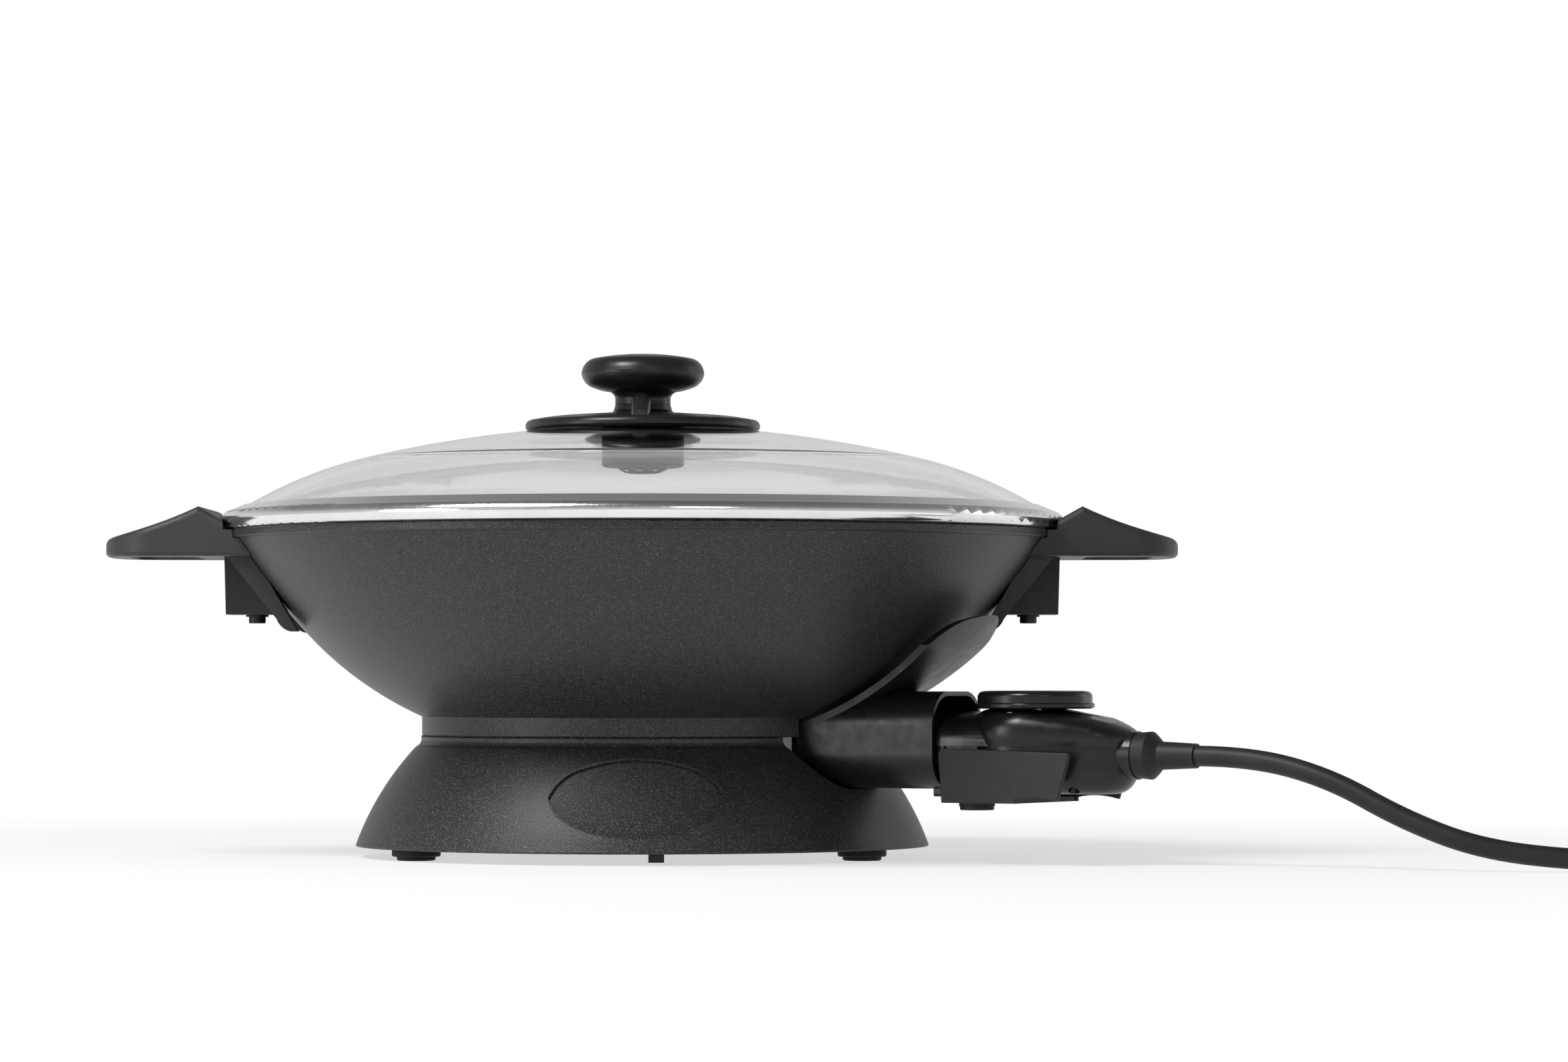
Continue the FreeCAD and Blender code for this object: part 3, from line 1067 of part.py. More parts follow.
def lever_pins():
    """Stepped pivots: a boss in the housing's wall and a pin in the blind hole of each cheek."""
    piece = probe_piece("lever_pins")
    for side in (-1, 1):
        pin = ("circle", PIVOT_X, PIVOT_Z, 2.0)
        piece.pad(piece.sketch("front", pin, lift=side * 27.1), 6.2, **SYMMETRIC)
        boss = ("circle", PIVOT_X, PIVOT_Z, 3.6)
        piece.pad(piece.sketch("front", boss, lift=side * 25), 7, **SYMMETRIC)


def lever_spring():
    """Return spring between the housing and the lever's cup."""
    coil_rad = 4.5
    helix = doc.addObject("Part::Helix", "spring_line")
    helix.Pitch, helix.Height, helix.Radius = 1.35, 5.4, coil_rad
    wire = doc.addObject("Part::Circle", "spring_wire")
    wire.Radius = 0.5
    wire.Placement = Placement(Vector(coil_rad, 0, 0), Rotation(Vector(1, 0, 0), 90))
    spring = doc.addObject("Part::Sweep", "lever_spring")
    spring.Label = "lever_spring"
    spring.Sections, spring.Spine = [wire], (helix, [])
    spring.Solid, spring.Frenet = True, True
    turned = Rotation(Vector(0, 0, 1), measure("socket_turn"))
    foot = turned.multVec(Vector(FOOT_X, 0, measure(PROBE) - 28.4))
    spring.Placement = Placement(foot, turned)
    FREE_PIECES.append(spring)


SLEEVE_END = "body_back_x+28"


def cord_gland():
    """Collar, flange and tapered sleeve moulded on the cord's end where it leaves the probe."""
    piece = probe_piece("cord_gland")
    back = "body_back_x"
    half = [(f"{back}-20", 0), (f"{back}-20", "cord_rad"), (f"{back}-6.6", "cord_rad"), (f"{back}-6.6", 8),
            (f"{back}-5", 8), (f"{back}-5", 7), (back, 7), (back, 10), (f"{back}+6.5", 10.5),
            (f"{back}+8", 9.2), (f"{back}+11", 6.2), (SLEEVE_END, 5.4), (SLEEVE_END, 0)]
    outline = [(along, f"{out}+({GLAND_Z})") for along, out in reversed(half)]
    sketch = piece.sketch("front", outline)
    spun = sketch_axis(piece, sketch, GLAND_Z)
    piece.feature("Revolution", Profile=sketch, ReferenceAxis=spun, Angle=360.0)


# ---------------------------------------------------------------- mains cord


CORD_ROUTE = [(299, -172, 39), (328, -187, 22), (360, -199, 9.5), (401.5, -206, 4.9), (438.3, -206, 4.9)]
FIRST_RUN = 26.0
COIL_AT = (470, -152)
PLUG_AT = (496.4, -66.8)
PLUG_TURN = -70.0
PLUG_PIN_OUT = 9.5


def tangent_path(points):
    """Straight runs joined by arcs, each as large as its two runs allow, and the arcs' radii."""
    edges, radii = [], []
    start = points[0]
    for before, corner, after in zip(points, points[1:], points[2:]):
        coming, going = corner - before, after - corner
        reach = 0.45 * min(coming.Length, going.Length)
        half_turn = coming.getAngle(going) / 2
        radii.append(reach / math.tan(half_turn))
        arrive = corner - Vector(coming).normalize() * reach
        leave = corner + Vector(going).normalize() * reach
        inward = (Vector(going).normalize() - Vector(coming).normalize()).normalize()
        top = corner + inward * (radii[-1] / math.cos(half_turn) - radii[-1])
        edges += [Part.LineSegment(start, arrive).toShape(), Part.Arc(arrive, top, leave).toShape()]
        start = leave
    edges.append(Part.LineSegment(start, points[-1]).toShape())
    return Part.Wire(edges), radii


def cord_exit():
    """Where the cord leaves its sleeve, and the way it points."""
    turn = math.radians(measure("socket_turn"))
    along = Vector(math.cos(turn), math.sin(turn), 0)
    return along * measure(SLEEVE_END) + Vector(0, 0, measure(PROBE) + GLAND_Z), along


def mains_cord():
    """The stretch between the probe and the coil, laid on the table."""
    start, along = cord_exit()
    route = [start, start + along * FIRST_RUN] + [Vector(*point) for point in CORD_ROUTE]
    path, radii = tangent_path(route)
    rad = measure("cord_rad")
    section = Part.Wire(Part.Circle(start, along, rad).toShape())
    tube = path.makePipeShell([section], True, False)
    print("cord: arcs", [round(r) for r in radii], "length", round(path.Length),
          "volume against section times length", round(tube.Volume / (math.pi * rad * rad * path.Length), 4))
    cord = doc.addObject("Part::Feature", "mains_cord")
    cord.Label = "mains_cord"
    cord.Shape = tube
    cord.Placement = Placement(Vector(0, 0, 0), Rotation())
    FREE_PIECES.append(cord)


def cord_coil():
    """The wound part of the cord, as the ring that its turns fill."""
    piece = Piece("cord_coil")
    rad = "cord_rad"
    section = [(f"11*{rad}-2*{rad}+3", 0.1), (f"11*{rad}+2*{rad}-3", 0.1), (f"11*{rad}+2*{rad}", 3.1, 3),
               (f"11*{rad}+2*{rad}", f"4*{rad}-3"), (f"11*{rad}+2*{rad}-3", f"4*{rad}", 3),
               (f"11*{rad}-2*{rad}+3", f"4*{rad}"), (f"11*{rad}-2*{rad}", f"4*{rad}-3", 3),
               (f"11*{rad}-2*{rad}", 3.1)]
    section[0] = (section[0][0], section[0][1], 3)
    piece.spin(piece.sketch("front", section, at=COIL_AT))


def plug_body():
    """Angled plug lying on its back beside the coil, its sleeve running to the coil."""
    piece = Piece("plug_body")
    half = [(0, 0.1), (16, 0.1), (18.5, 2.6, 2.5), (18.5, 17), (17.6, 18), (17.6, 27), (16.6, 28), (0, 28)]
    piece.spin(piece.sketch("front", half, at=PLUG_AT))
    height, end = 8.5, 39.2
    sleeve = [(15, 0), (15, 7.4), (20, 7.2), (end, "cord_rad+0.5"), (end, 0)]
    outline = [(along, f"{out}+{height}") for along, out in reversed(sleeve)]
    sketch = piece.sketch("front", outline, at=PLUG_AT, turn=PLUG_TURN)
    spun = sketch_axis(piece, sketch, height)
    piece.feature("Revolution", Profile=sketch, ReferenceAxis=spun, Angle=360.0)
    turn = math.radians(PLUG_TURN)
    for contact in (-17.3, 17.3):
        clip = ("circle", PLUG_AT[0] + contact * math.cos(turn), PLUG_AT[1] + contact * math.sin(turn), 2.6)
        piece.pocket(piece.sketch("top", clip, lift=17), 20, Reversed=True)


def plug_pins():
    piece = Piece("plug_pins")
    turn = math.radians(PLUG_TURN + 90)
    half = [(0, 28), (2.4, 28), (2.4, 45.5), (1.4, 47), (0, 47)]
    for side in (-PLUG_PIN_OUT, PLUG_PIN_OUT):
        place = (PLUG_AT[0] + side * math.cos(turn), PLUG_AT[1] + side * math.sin(turn))
        piece.spin(piece.sketch("front", half, at=place))


# ---------------------------------------------------------------- build and export


def finished():
    """The sub-parts: every body that isn't a tool inside another, each checked."""
    doc.recompute()
    for thing in doc.Objects:
        if {"Invalid", "Error"} & set(thing.State):
            raise ValueError(f"{thing.Name}: {thing.State}")
    found = []
    for thing in doc.Objects:
        inside = any(parent.TypeId == "PartDesign::Boolean" for parent in thing.InList)
        if thing.TypeId != "PartDesign::Body" and thing not in FREE_PIECES or inside:
            continue
        if thing.Shape.isNull() or not thing.Shape.isValid():
            raise ValueError(f"{thing.Label}: no valid shape")
        found.append(thing)
    return found


def export():
    os.makedirs("parts", exist_ok=True)
    for thing in finished():
        thing.Shape.exportStep(f"parts/{thing.Label}.step")
        solids, volume = len(thing.Shape.Solids), thing.Shape.Volume / 1000
        box = thing.Shape.BoundBox
        print(f"{thing.Label:24s} {solids} solid(s) {volume:9.2f} cm3  x {box.XMin:7.1f} {box.XMax:7.1f}"
              f"  y {box.YMin:7.1f} {box.YMax:7.1f}  z {box.ZMin:6.1f} {box.ZMax:6.1f}")


MAKERS = [
    base_housing, rubber_feet, foot_screws, reflector_tray, tray_screws, lock_lever, lock_retainer,
    wok_bowl, heating_casting, heating_element, contact_pins, pin_insulators, earth_spring, lock_studs,
    socket_shroud, shroud_screws, handles, handle_screws, handle_washers,
    lid_glass, lid_rim_band, lid_seal, vent_gasket, vent_ring, vent_collar, vent_strainer,
    knob_screw, knob_body, knob_cap,
    probe_housing_lower, probe_housing_upper, housing_screws, sensor_rod, contact_sleeves, switch_frame,
    switch_blade, control_cam, control_spindle, dial_knob, terminal_block, cord_clamp,
    release_lever, lever_foot, lever_pins, lever_spring, cord_gland,
    mains_cord, cord_coil, plug_body, plug_pins,
]

for make in MAKERS:
    make()
export()
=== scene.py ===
"""Electric wok: materials, cord, markings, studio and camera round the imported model. Metres."""

import json
import math

import bmesh
import bpy
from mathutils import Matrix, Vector
from mathutils.bvhtree import BVHTree


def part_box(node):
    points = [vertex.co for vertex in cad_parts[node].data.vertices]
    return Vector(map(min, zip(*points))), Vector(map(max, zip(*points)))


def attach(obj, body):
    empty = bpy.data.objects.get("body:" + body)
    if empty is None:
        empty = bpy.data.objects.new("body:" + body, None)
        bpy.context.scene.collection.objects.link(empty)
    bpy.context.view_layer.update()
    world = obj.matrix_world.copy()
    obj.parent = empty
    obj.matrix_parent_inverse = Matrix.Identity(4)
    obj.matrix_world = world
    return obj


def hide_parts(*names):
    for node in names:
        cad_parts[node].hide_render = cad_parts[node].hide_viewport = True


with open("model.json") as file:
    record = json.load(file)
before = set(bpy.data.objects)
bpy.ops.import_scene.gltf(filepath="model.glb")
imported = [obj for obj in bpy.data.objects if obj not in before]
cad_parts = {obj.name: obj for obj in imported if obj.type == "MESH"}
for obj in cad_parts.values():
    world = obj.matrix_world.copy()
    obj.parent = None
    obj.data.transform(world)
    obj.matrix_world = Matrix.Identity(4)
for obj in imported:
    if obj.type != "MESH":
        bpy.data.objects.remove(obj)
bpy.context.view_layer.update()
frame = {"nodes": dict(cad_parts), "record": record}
nodes = frame["nodes"]


# ---------------------------------------------------------------- places and helpers


def middle(node):
    """The middle of a CAD node's box."""
    low, high = (Vector(corner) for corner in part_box(node))
    return (low + high) / 2


def level(angle):
    """Unit vector in the plane of the table, at an angle from +X."""
    return Vector((math.cos(angle), math.sin(angle), 0.0))


TABLE_Z = 0.0
UP = Vector((0.0, 0.0, 1.0))
PROBE_ALONG = level(math.radians(-30.0))  # the probe leaves the wok to the front right
PROBE_ACROSS = Vector((-PROBE_ALONG.y, PROBE_ALONG.x, 0.0))
DIAL_MIDDLE = middle("dial_knob")


def object_from(shape, name):
    """Turns a bmesh into an object of the scene and frees it."""
    mesh = bpy.data.meshes.new(name)
    shape.to_mesh(mesh)
    shape.free()
    made = bpy.data.objects.new(name, mesh)
    bpy.context.collection.objects.link(made)
    return made


def mesh_of(made):
    """An object's shape as a new mesh, with its modifiers or curve worked out."""
    bpy.context.view_layer.update()
    return bpy.data.meshes.new_from_object(made.evaluated_get(bpy.context.evaluated_depsgraph_get()))


def paint(made, material):
    """Gives an object one material."""
    made.data.materials.clear()
    made.data.materials.append(material)


# ---------------------------------------------------------------- camera


CAMERA_AT = Vector((0.065, -2.5, 0.084))
CAMERA_PITCH = math.radians(1.5)
LENS_MM, SENSOR_MM = 124.7, 36.0
NEAREST_SEEN, FURTHEST_SEEN = 0.05, 60.0


def add_camera():
    """Long lens a little over the table, tilted up slightly, that looks along +Y."""
    lens = bpy.data.cameras.new("camera")
    lens.lens, lens.sensor_width, lens.sensor_fit = LENS_MM, SENSOR_MM, "HORIZONTAL"
    lens.clip_start, lens.clip_end = NEAREST_SEEN, FURTHEST_SEEN
    camera = bpy.data.objects.new("camera", lens)
    camera.location = CAMERA_AT
    camera.rotation_euler = (math.radians(90.0) + CAMERA_PITCH, 0.0, 0.0)
    bpy.context.collection.objects.link(camera)
    bpy.context.scene.camera = camera


add_camera()


# ---------------------------------------------------------------- mains cord


CORD_RADIUS = 0.0045
CORD_EXIT = PROBE_ALONG * 0.282 + UP * 0.0481  # where it leaves the gland's sleeve
FIRST_RUN = 0.026  # how far it goes on straight from there
CORD_ROUTE = [(0.299, -0.172, 0.039), (0.328, -0.187, 0.022), (0.360, -0.199, 0.0095),
              (0.4015, -0.206, 0.0049), (0.4383, -0.206, 0.0049)]

COIL_AT = Vector((0.470, -0.152, 0.0))
COIL_TURNS = 3.306
POINTS_A_TURN = 16
OUTER_TURN, INNER_TURN = 0.0540, 0.0450  # radii
LOWER_LAYER, UPPER_LAYER = 0.0048, 0.0138  # heights
GOES_IN, GOES_UP, GOES_OUT = (0.70, 1.0), (1.45, 1.85), (2.22, 2.5)  # between these turns

PLUG_AT = Vector((0.4964, -0.0668, 0.0))
PLUG_SLEEVE = level(math.radians(-70.0))  # the way the plug's sleeve points
PLUG_SLEEVE_Z, PLUG_REACH = 0.0085, 0.0392
LAST_RUN = 0.012

LINE_STEPS, ROUND_STEPS = 8, 8  # fineness of the cord's line and of its section


def ease(value, start, end):
    """0 before start, 1 after end, and a smooth way between."""
    share = min(max((value - start) / (end - start), 0.0), 1.0)
    return share * share * (3.0 - 2.0 * share)


def coil_point(turns):
    """A point of the coil: out, in, up and out again, so that no turn lies in another."""
    inward = ease(turns, *GOES_IN) - ease(turns, *GOES_OUT)
    radius = OUTER_TURN + (INNER_TURN - OUTER_TURN) * inward
    height = LOWER_LAYER + (UPPER_LAYER - LOWER_LAYER) * ease(turns, *GOES_UP)
    return COIL_AT + level(2.0 * math.pi * turns - math.pi / 2.0) * radius + UP * height


def cord_route():
    """The whole cord: out of the sleeve, down to the table, round the coil and into the plug."""
    route = [CORD_EXIT, CORD_EXIT + PROBE_ALONG * FIRST_RUN] + [Vector(point) for point in CORD_ROUTE]
    steps = int(COIL_TURNS * POINTS_A_TURN)
    route += [coil_point(step * COIL_TURNS / steps) for step in range(1, steps + 1)]
    mouth = PLUG_AT + PLUG_SLEEVE * PLUG_REACH + UP * PLUG_SLEEVE_Z
    return route + [mouth + PLUG_SLEEVE * LAST_RUN, mouth]


def nurbs(name, points, radius):
    """A round line along control points, which carry the radius."""
    curve = bpy.data.curves.new(name, "CURVE")
    curve.dimensions = "3D"
    curve.bevel_depth, curve.bevel_resolution = 1.0, ROUND_STEPS
    curve.use_fill_caps = True
    spline = curve.splines.new("NURBS")
    spline.points.add(len(points) - 1)
    for place, point in zip(spline.points, points):
        place.co = (*point, 1.0)
        place.radius = radius
    spline.order_u = 3
    spline.use_endpoint_u = True
    curve.resolution_u = LINE_STEPS
    made = bpy.data.objects.new(name, curve)
    bpy.context.collection.objects.link(made)
    return made


TIE_AT = math.radians(-54.0)  # seen from the coil's middle
TIE_WIDE, TIE_THICK, TIE_GAP = 0.009, 0.0009, 0.0004
TIE_LOOSE_END, TIE_DROOP, TIE_OFF_TABLE = 0.0035, 0.0002, 0.0001
TIE_LAPS_FROM = 0.6  # share of the way from the inner to the outer strand
TIE_CREASE = math.radians(40.0)
ARC_STEPS = 8


def line_of(made):
    """The points of a curve's own line, without its thickness."""
    thickness, made.data.bevel_depth = made.data.bevel_depth, 0.0
    mesh = mesh_of(made)
    points = [vertex.co.copy() for vertex in mesh.vertices]
    bpy.data.meshes.remove(mesh)
    made.data.bevel_depth = thickness
    return points


def strands_at(outward, sideways):
    """The four strands as they pass the tie, as (out, height) in their order round the bundle."""
    points = [point - COIL_AT for point in line_of(cord)]
    passed = []
    for before, after in zip(points, points[1:]):
        first, last = before.dot(sideways), after.dot(sideways)
        if first <= 0.0 < last:
            spot = before.lerp(after, first / (first - last))
            passed.append((spot.z, spot.dot(outward)))
    passed.sort()
    lower, upper = sorted(out for _, out in passed[:2]), sorted(out for _, out in passed[2:])
    low, high = passed[0][0], passed[-1][0]
    return [(upper[0], high), (lower[0], low), (lower[1], low), (upper[1], high)]


def tie_path(strands):
    """The strap's way round the coil's four strands and over its own start, as (out, height)."""
    path = []
    for place, (out, height) in enumerate(strands):
        for step in range(ARC_STEPS + 1):
            turn = math.pi / 2 * (1.0 + place + step / ARC_STEPS)
            lift = TIE_THICK * step / ARC_STEPS if place == 3 else 0.0
            reach = CORD_RADIUS + TIE_GAP + lift
            path.append((out + reach * math.cos(turn), height + reach * math.sin(turn)))
    start, top = strands[0][0], path[-1][1]
    lap = start + TIE_LAPS_FROM * (strands[3][0] - start)
    path += [(lap, top), (start, top), (start - TIE_LOOSE_END, top - TIE_DROOP)]
    return [(out, max(height, TIE_THICK / 2 + TIE_OFF_TABLE)) for out, height in path]


def add_tie():
    """A strap that goes once round the coil and lies over its own end."""
    outward, sideways = level(TIE_AT), level(TIE_AT + math.pi / 2.0)
    way = tie_path(strands_at(outward, sideways))
    path = [COIL_AT + outward * out + UP * height for out, height in way]
    shape = bmesh.new()
    sections = []
    for place, point in enumerate(path):
        along = (path[min(place + 1, len(path) - 1)] - path[max(place - 1, 0)]).normalized()
        face = sideways.cross(along)
        wide, thick = sideways * (TIE_WIDE / 2), face * (TIE_THICK / 2)
        corners = (-wide - thick, wide - thick, wide + thick, thick - wide)
        sections.append([shape.verts.new(point + corner) for corner in corners])
    for before, after in zip(sections, sections[1:]):
        for corner in range(4):
            following = (corner + 1) % 4
            shape.faces.new([before[corner], before[following], after[following], after[corner]])
    shape.faces.new(sections[0])
    shape.faces.new(sections[-1])
    bmesh.ops.recalc_face_normals(shape, faces=shape.faces[:])
    made = object_from(shape, "cord_tie")
    made.data.shade_smooth()
    made.data.set_sharp_from_angle(angle=TIE_CREASE)
    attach(made, "probe")
    return made


cord = nurbs("power_cord", cord_route(), CORD_RADIUS)
tie = add_tie()
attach(cord, "probe")
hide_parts("mains_cord", "cord_coil")


# ---------------------------------------------------------------- materials


# a mix node's colour sockets, which share their names with its other types, by number
MIX_FACTOR, MIX_FIRST, MIX_SECOND, MIX_RESULT = 0, 6, 7, 2


class Wiring:
    """Short ways to add and link the nodes of a material or a world."""

    def __init__(self, tree):
        self.tree = tree

    def feed(self, socket, value):
        """Links a socket to a node's output, or sets it to a value."""
        if isinstance(value, bpy.types.NodeSocket):
            self.tree.links.new(value, socket)
        else:
            socket.default_value = value

    def node(self, kind, **inputs):
        """A node with its inputs linked or set; an underscore in a name stands for a space."""
        made = self.tree.nodes.new("ShaderNode" + kind)
        for name, value in inputs.items():
            self.feed(made.inputs[name.replace("_", " ")], value)
        return made

    def ramp(self, factor, *stops):
        """A colour read off along a factor; a stop is (place, colour or grey)."""
        made = self.node("ValToRGB", Fac=factor)
        elements = made.color_ramp.elements
        while len(elements) < len(stops):
            elements.new(0.5)
        for element, (place, colour) in zip(elements, stops):
            element.position = place
            tone = (colour,) * 3 if isinstance(colour, float) else colour
            element.color = (*tone, 1.0)
        return made.outputs["Color"]

    def mix(self, factor, first, second):
        """A colour between two, a colour being a node's output or three values."""
        made = self.node("Mix")
        made.data_type = "RGBA"
        self.feed(made.inputs[MIX_FACTOR], factor)
        for place, value in ((MIX_FIRST, first), (MIX_SECOND, second)):
            self.feed(made.inputs[place], (*value, 1.0) if isinstance(value, tuple) else value)
        return made.outputs[MIX_RESULT]

    def math(self, operation, first, second):
        """The outcome of a sum on two values or outputs."""
        made = self.node("Math")
        made.operation = operation
        self.feed(made.inputs[0], first)
        self.feed(made.inputs[1], second)
        return made.outputs[0]

    def blend(self, share, first, second, end):
        """Sends a blend of two shaders to the end of the tree."""
        made = self.node("MixShader", Fac=share)
        self.feed(made.inputs[1], first)
        self.feed(made.inputs[2], second)
        self.feed(self.tree.nodes[end].inputs["Surface"], made.outputs["Shader"])


class Recipe(Wiring):
    """A material grown round its Principled shader, in the object's own coordinates."""

    def __init__(self, name, colour, roughness, **sockets):
        self.made = bpy.data.materials.new(name)
        self.made.use_nodes = True
        super().__init__(self.made.node_tree)
        self.shader = self.tree.nodes["Principled BSDF"]
        self.set("Base Color", (*colour, 1.0))
        self.set("Roughness", roughness)
        for socket, value in sockets.items():
            self.set(socket.replace("_", " ").title().replace("Ior", "IOR"), value)
        self.place = self.node("TexCoord").outputs["Object"]
        self.normal = None

    def set(self, socket, value):
        """Sets an input of the shader or links it to an output."""
        self.feed(self.shader.inputs[socket], value)

    def noise(self, scale, detail=3.0, roughness=0.55, where=None):
        """Fractal noise from 0 to 1, about scale cells to the metre."""
        return self.node("TexNoise", Vector=where or self.place, Scale=scale, Detail=detail,
                         Roughness=roughness).outputs["Fac"]

    def stretched(self, x, y, z):
        """The object's coordinates scaled along each axis."""
        return self.node("Mapping", Vector=self.place, Scale=(x, y, z)).outputs["Vector"]

    def colour(self, source):
        """Takes the base colour from an output."""
        self.set("Base Color", source)

    def roughness(self, source):
        """Takes the roughness from an output."""
        self.set("Roughness", source)

    def bump(self, height, depth, strength=1.0):
        """Raises the surface by a height texture, depth metres deep, on what is there already."""
        made = self.node("Bump", Height=height, Distance=depth, Strength=strength)
        if self.normal:
            self.feed(made.inputs["Normal"], self.normal)
        self.normal = made.outputs["Normal"]
        self.set("Normal", self.normal)


# in the recipes, noise takes cells to the metre, octaves and their share, ramp takes (place, tone)
# stops, and bump takes its height, its depth in metres and its strength

COAT_GROUND, COAT_FLECK = (0.014, 0.014, 0.015), (0.105, 0.105, 0.108)
COAT_CLOUD = tuple(1.18 * channel for channel in COAT_GROUND)
COAT_SCALE, COAT_RELIEF_SCALE, COAT_RELIEF = 1500.0, 1400.0, 0.00022
STAND_GRAIN = 0.9
DISH_MIDDLE_Z, DISH_HALF_WIDE, DISH_HALF_HIGH, DISH_HOLLOW = 0.0290, 0.0387, 0.0176, 0.0036


def sparkling_coat(name, grain):
    """Charcoal coating with a fine light fleck and a sandy surface."""
    coat = Recipe(name, COAT_GROUND, 0.42, metallic=0.1, specular_ior_level=0.45)
    fleck = coat.ramp(coat.noise(COAT_SCALE * grain, 3.0, 0.7), (0.52, 0.0), (0.67, 1.0))
    cloud = coat.ramp(coat.noise(9.0, 4.0), (0.3, 0.0), (0.7, 1.0))
    coat.colour(coat.mix(fleck, coat.mix(cloud, COAT_GROUND, COAT_CLOUD), COAT_FLECK))
    coat.roughness(coat.ramp(coat.noise(COAT_SCALE * grain, 2.0), (0.3, 0.34), (0.7, 0.50)))
    coat.bump(coat.noise(COAT_RELIEF_SCALE * grain, 3.0, 0.6), COAT_RELIEF, 0.7)
    return coat


def stand_coating():
    """The stand's coating; the floor of the oval dish on its front is hollowed a little."""
    coat = sparkling_coat("stand_coating", STAND_GRAIN)
    axes = coat.node("SeparateXYZ", Vector=coat.place).outputs
    across = coat.math("DIVIDE", axes["X"], DISH_HALF_WIDE)
    up = coat.math("DIVIDE", coat.math("SUBTRACT", axes["Z"], DISH_MIDDLE_Z), DISH_HALF_HIGH)
    outward = coat.math("ADD", coat.math("MULTIPLY", across, across), coat.math("MULTIPLY", up, up))
    in_front = coat.math("LESS_THAN", axes["Y"], 0.0)
    hollow = coat.math("MULTIPLY", in_front, coat.math("SUBTRACT", coat.math("MINIMUM", outward, 1.0), 1.0))
    coat.bump(hollow, DISH_HOLLOW)
    return coat.made


def moulded_plastic(name, tone, roughness, grain_depth, specular):
    """Black moulding with spark-eroded grain, faint flow clouds and rubbed patches."""
    plastic = Recipe(name, (tone, tone, tone), roughness, specular_ior_level=specular)
    cloud = plastic.noise(22.0, 4.0)
    plastic.colour(plastic.ramp(cloud, (0.3, 0.88 * tone), (0.7, 1.14 * tone)))
    rubbed = plastic.noise(160.0, 3.0)
    plastic.roughness(plastic.ramp(rubbed, (0.35, roughness - 0.04), (0.65, roughness + 0.05)))
    plastic.bump(plastic.noise(2200.0, 2.0, 0.5), grain_depth, 0.5)
    return plastic.made


def rubber(name, tone, roughness, grain):
    """Soft rubber with paler dust in places."""
    made = Recipe(name, (tone, tone, tone), roughness, specular_ior_level=0.3)
    made.colour(made.ramp(made.noise(60.0, 5.0), (0.3, 0.8 * tone), (0.75, 1.5 * tone)))
    made.bump(made.noise(grain, 3.0), 0.00008, 0.4)
    return made.made


def woven_strap():
    """Dark strap with a weave drawn out along its height."""
    made = Recipe("woven_strap", (0.03, 0.03, 0.03), 0.8, specular_ior_level=0.2)
    weave = made.noise(2600.0, 2.0, 0.5, made.stretched(1.0, 1.0, 0.3))
    made.colour(made.ramp(weave, (0.35, 0.022), (0.65, 0.045)))
    made.bump(weave, 0.00015, 0.7)
    return made.made


def metal(name, tone, roughness, lay=(1.0, 1.0, 1.0), scratch=900.0, depth=0.00002, spread=0.06, share=1.0):
    """Bare metal with fine working marks, drawn out along the axes where lay is small."""
    made = Recipe(name, (tone, tone, 0.99 * tone), roughness, metallic=share)
    marks = made.noise(scratch, 4.0, 0.6, made.stretched(*lay))
    made.roughness(made.ramp(marks, (0.3, max(roughness - spread, 0.02)), (0.7, roughness + spread)))
    made.colour(made.ramp(made.noise(30.0, 3.0), (0.3, 0.93 * tone), (0.7, min(1.04 * tone, 1.0))))
    made.bump(marks, depth, 0.35)
    return made.made


def cast_metal():
    """Raw pressure-cast aluminium: grey, sandy, with dull patches."""
    made = Recipe("cast_metal", (0.50, 0.50, 0.50), 0.48, metallic=0.7)
    made.colour(made.ramp(made.noise(38.0, 6.0, 0.6), (0.3, 0.46), (0.7, 0.66)))
    made.roughness(made.ramp(made.noise(90.0, 4.0), (0.3, 0.40), (0.7, 0.60)))
    made.bump(made.noise(700.0, 4.0, 0.65), 0.00025, 0.5)
    return made.made


def tray_sheet():
    """Pale rolled aluminium sheet, a little wavy from pressing."""
    made = Recipe("tray_metal", (0.88, 0.88, 0.88), 0.32, metallic=0.9)
    made.colour(made.ramp(made.noise(24.0, 3.0), (0.3, 0.84), (0.7, 0.92)))
    rolled = made.noise(1200.0, 3.0, 0.6, made.stretched(0.06, 1.0, 1.0))
    made.roughness(made.ramp(rolled, (0.3, 0.27), (0.7, 0.38)))
    made.bump(made.noise(18.0, 2.0), 0.0005, 0.15)
    made.bump(rolled, 0.00003, 0.3)
    return made.made


def clear_glass():
    """Tempered glass: clear with a grey cast, and faint waves that bend its reflections."""
    made = Recipe("clear_glass", (0.93, 0.935, 0.94), 0.0, transmission_weight=1.0, ior=1.4)
    made.bump(made.noise(7.0, 2.0), 0.0003, 0.10)
    smear = made.noise(26.0, 5.0, 0.6)
    made.roughness(made.ramp(smear, (0.52, 0.0), (0.85, 0.05)))
    return made.made


def silicone():
    """Clear silicone with a milky cast."""
    made = Recipe("silicone", (0.88, 0.88, 0.87), 0.30, transmission_weight=0.85, ior=1.2)
    made.colour(made.ramp(made.noise(120.0, 3.0), (0.3, 0.84), (0.7, 0.91)))
    made.bump(made.noise(500.0, 2.0), 0.00005, 0.3)
    return made.made


def ceramic():
    """Unglazed white steatite."""
    made = Recipe("ceramic", (0.74, 0.72, 0.67), 0.6)
    made.colour(made.ramp(made.noise(300.0, 5.0), (0.3, (0.68, 0.66, 0.61)), (0.7, (0.78, 0.76, 0.71))))
    made.bump(made.noise(1300.0, 3.0), 0.00006, 0.5)
    return made.made


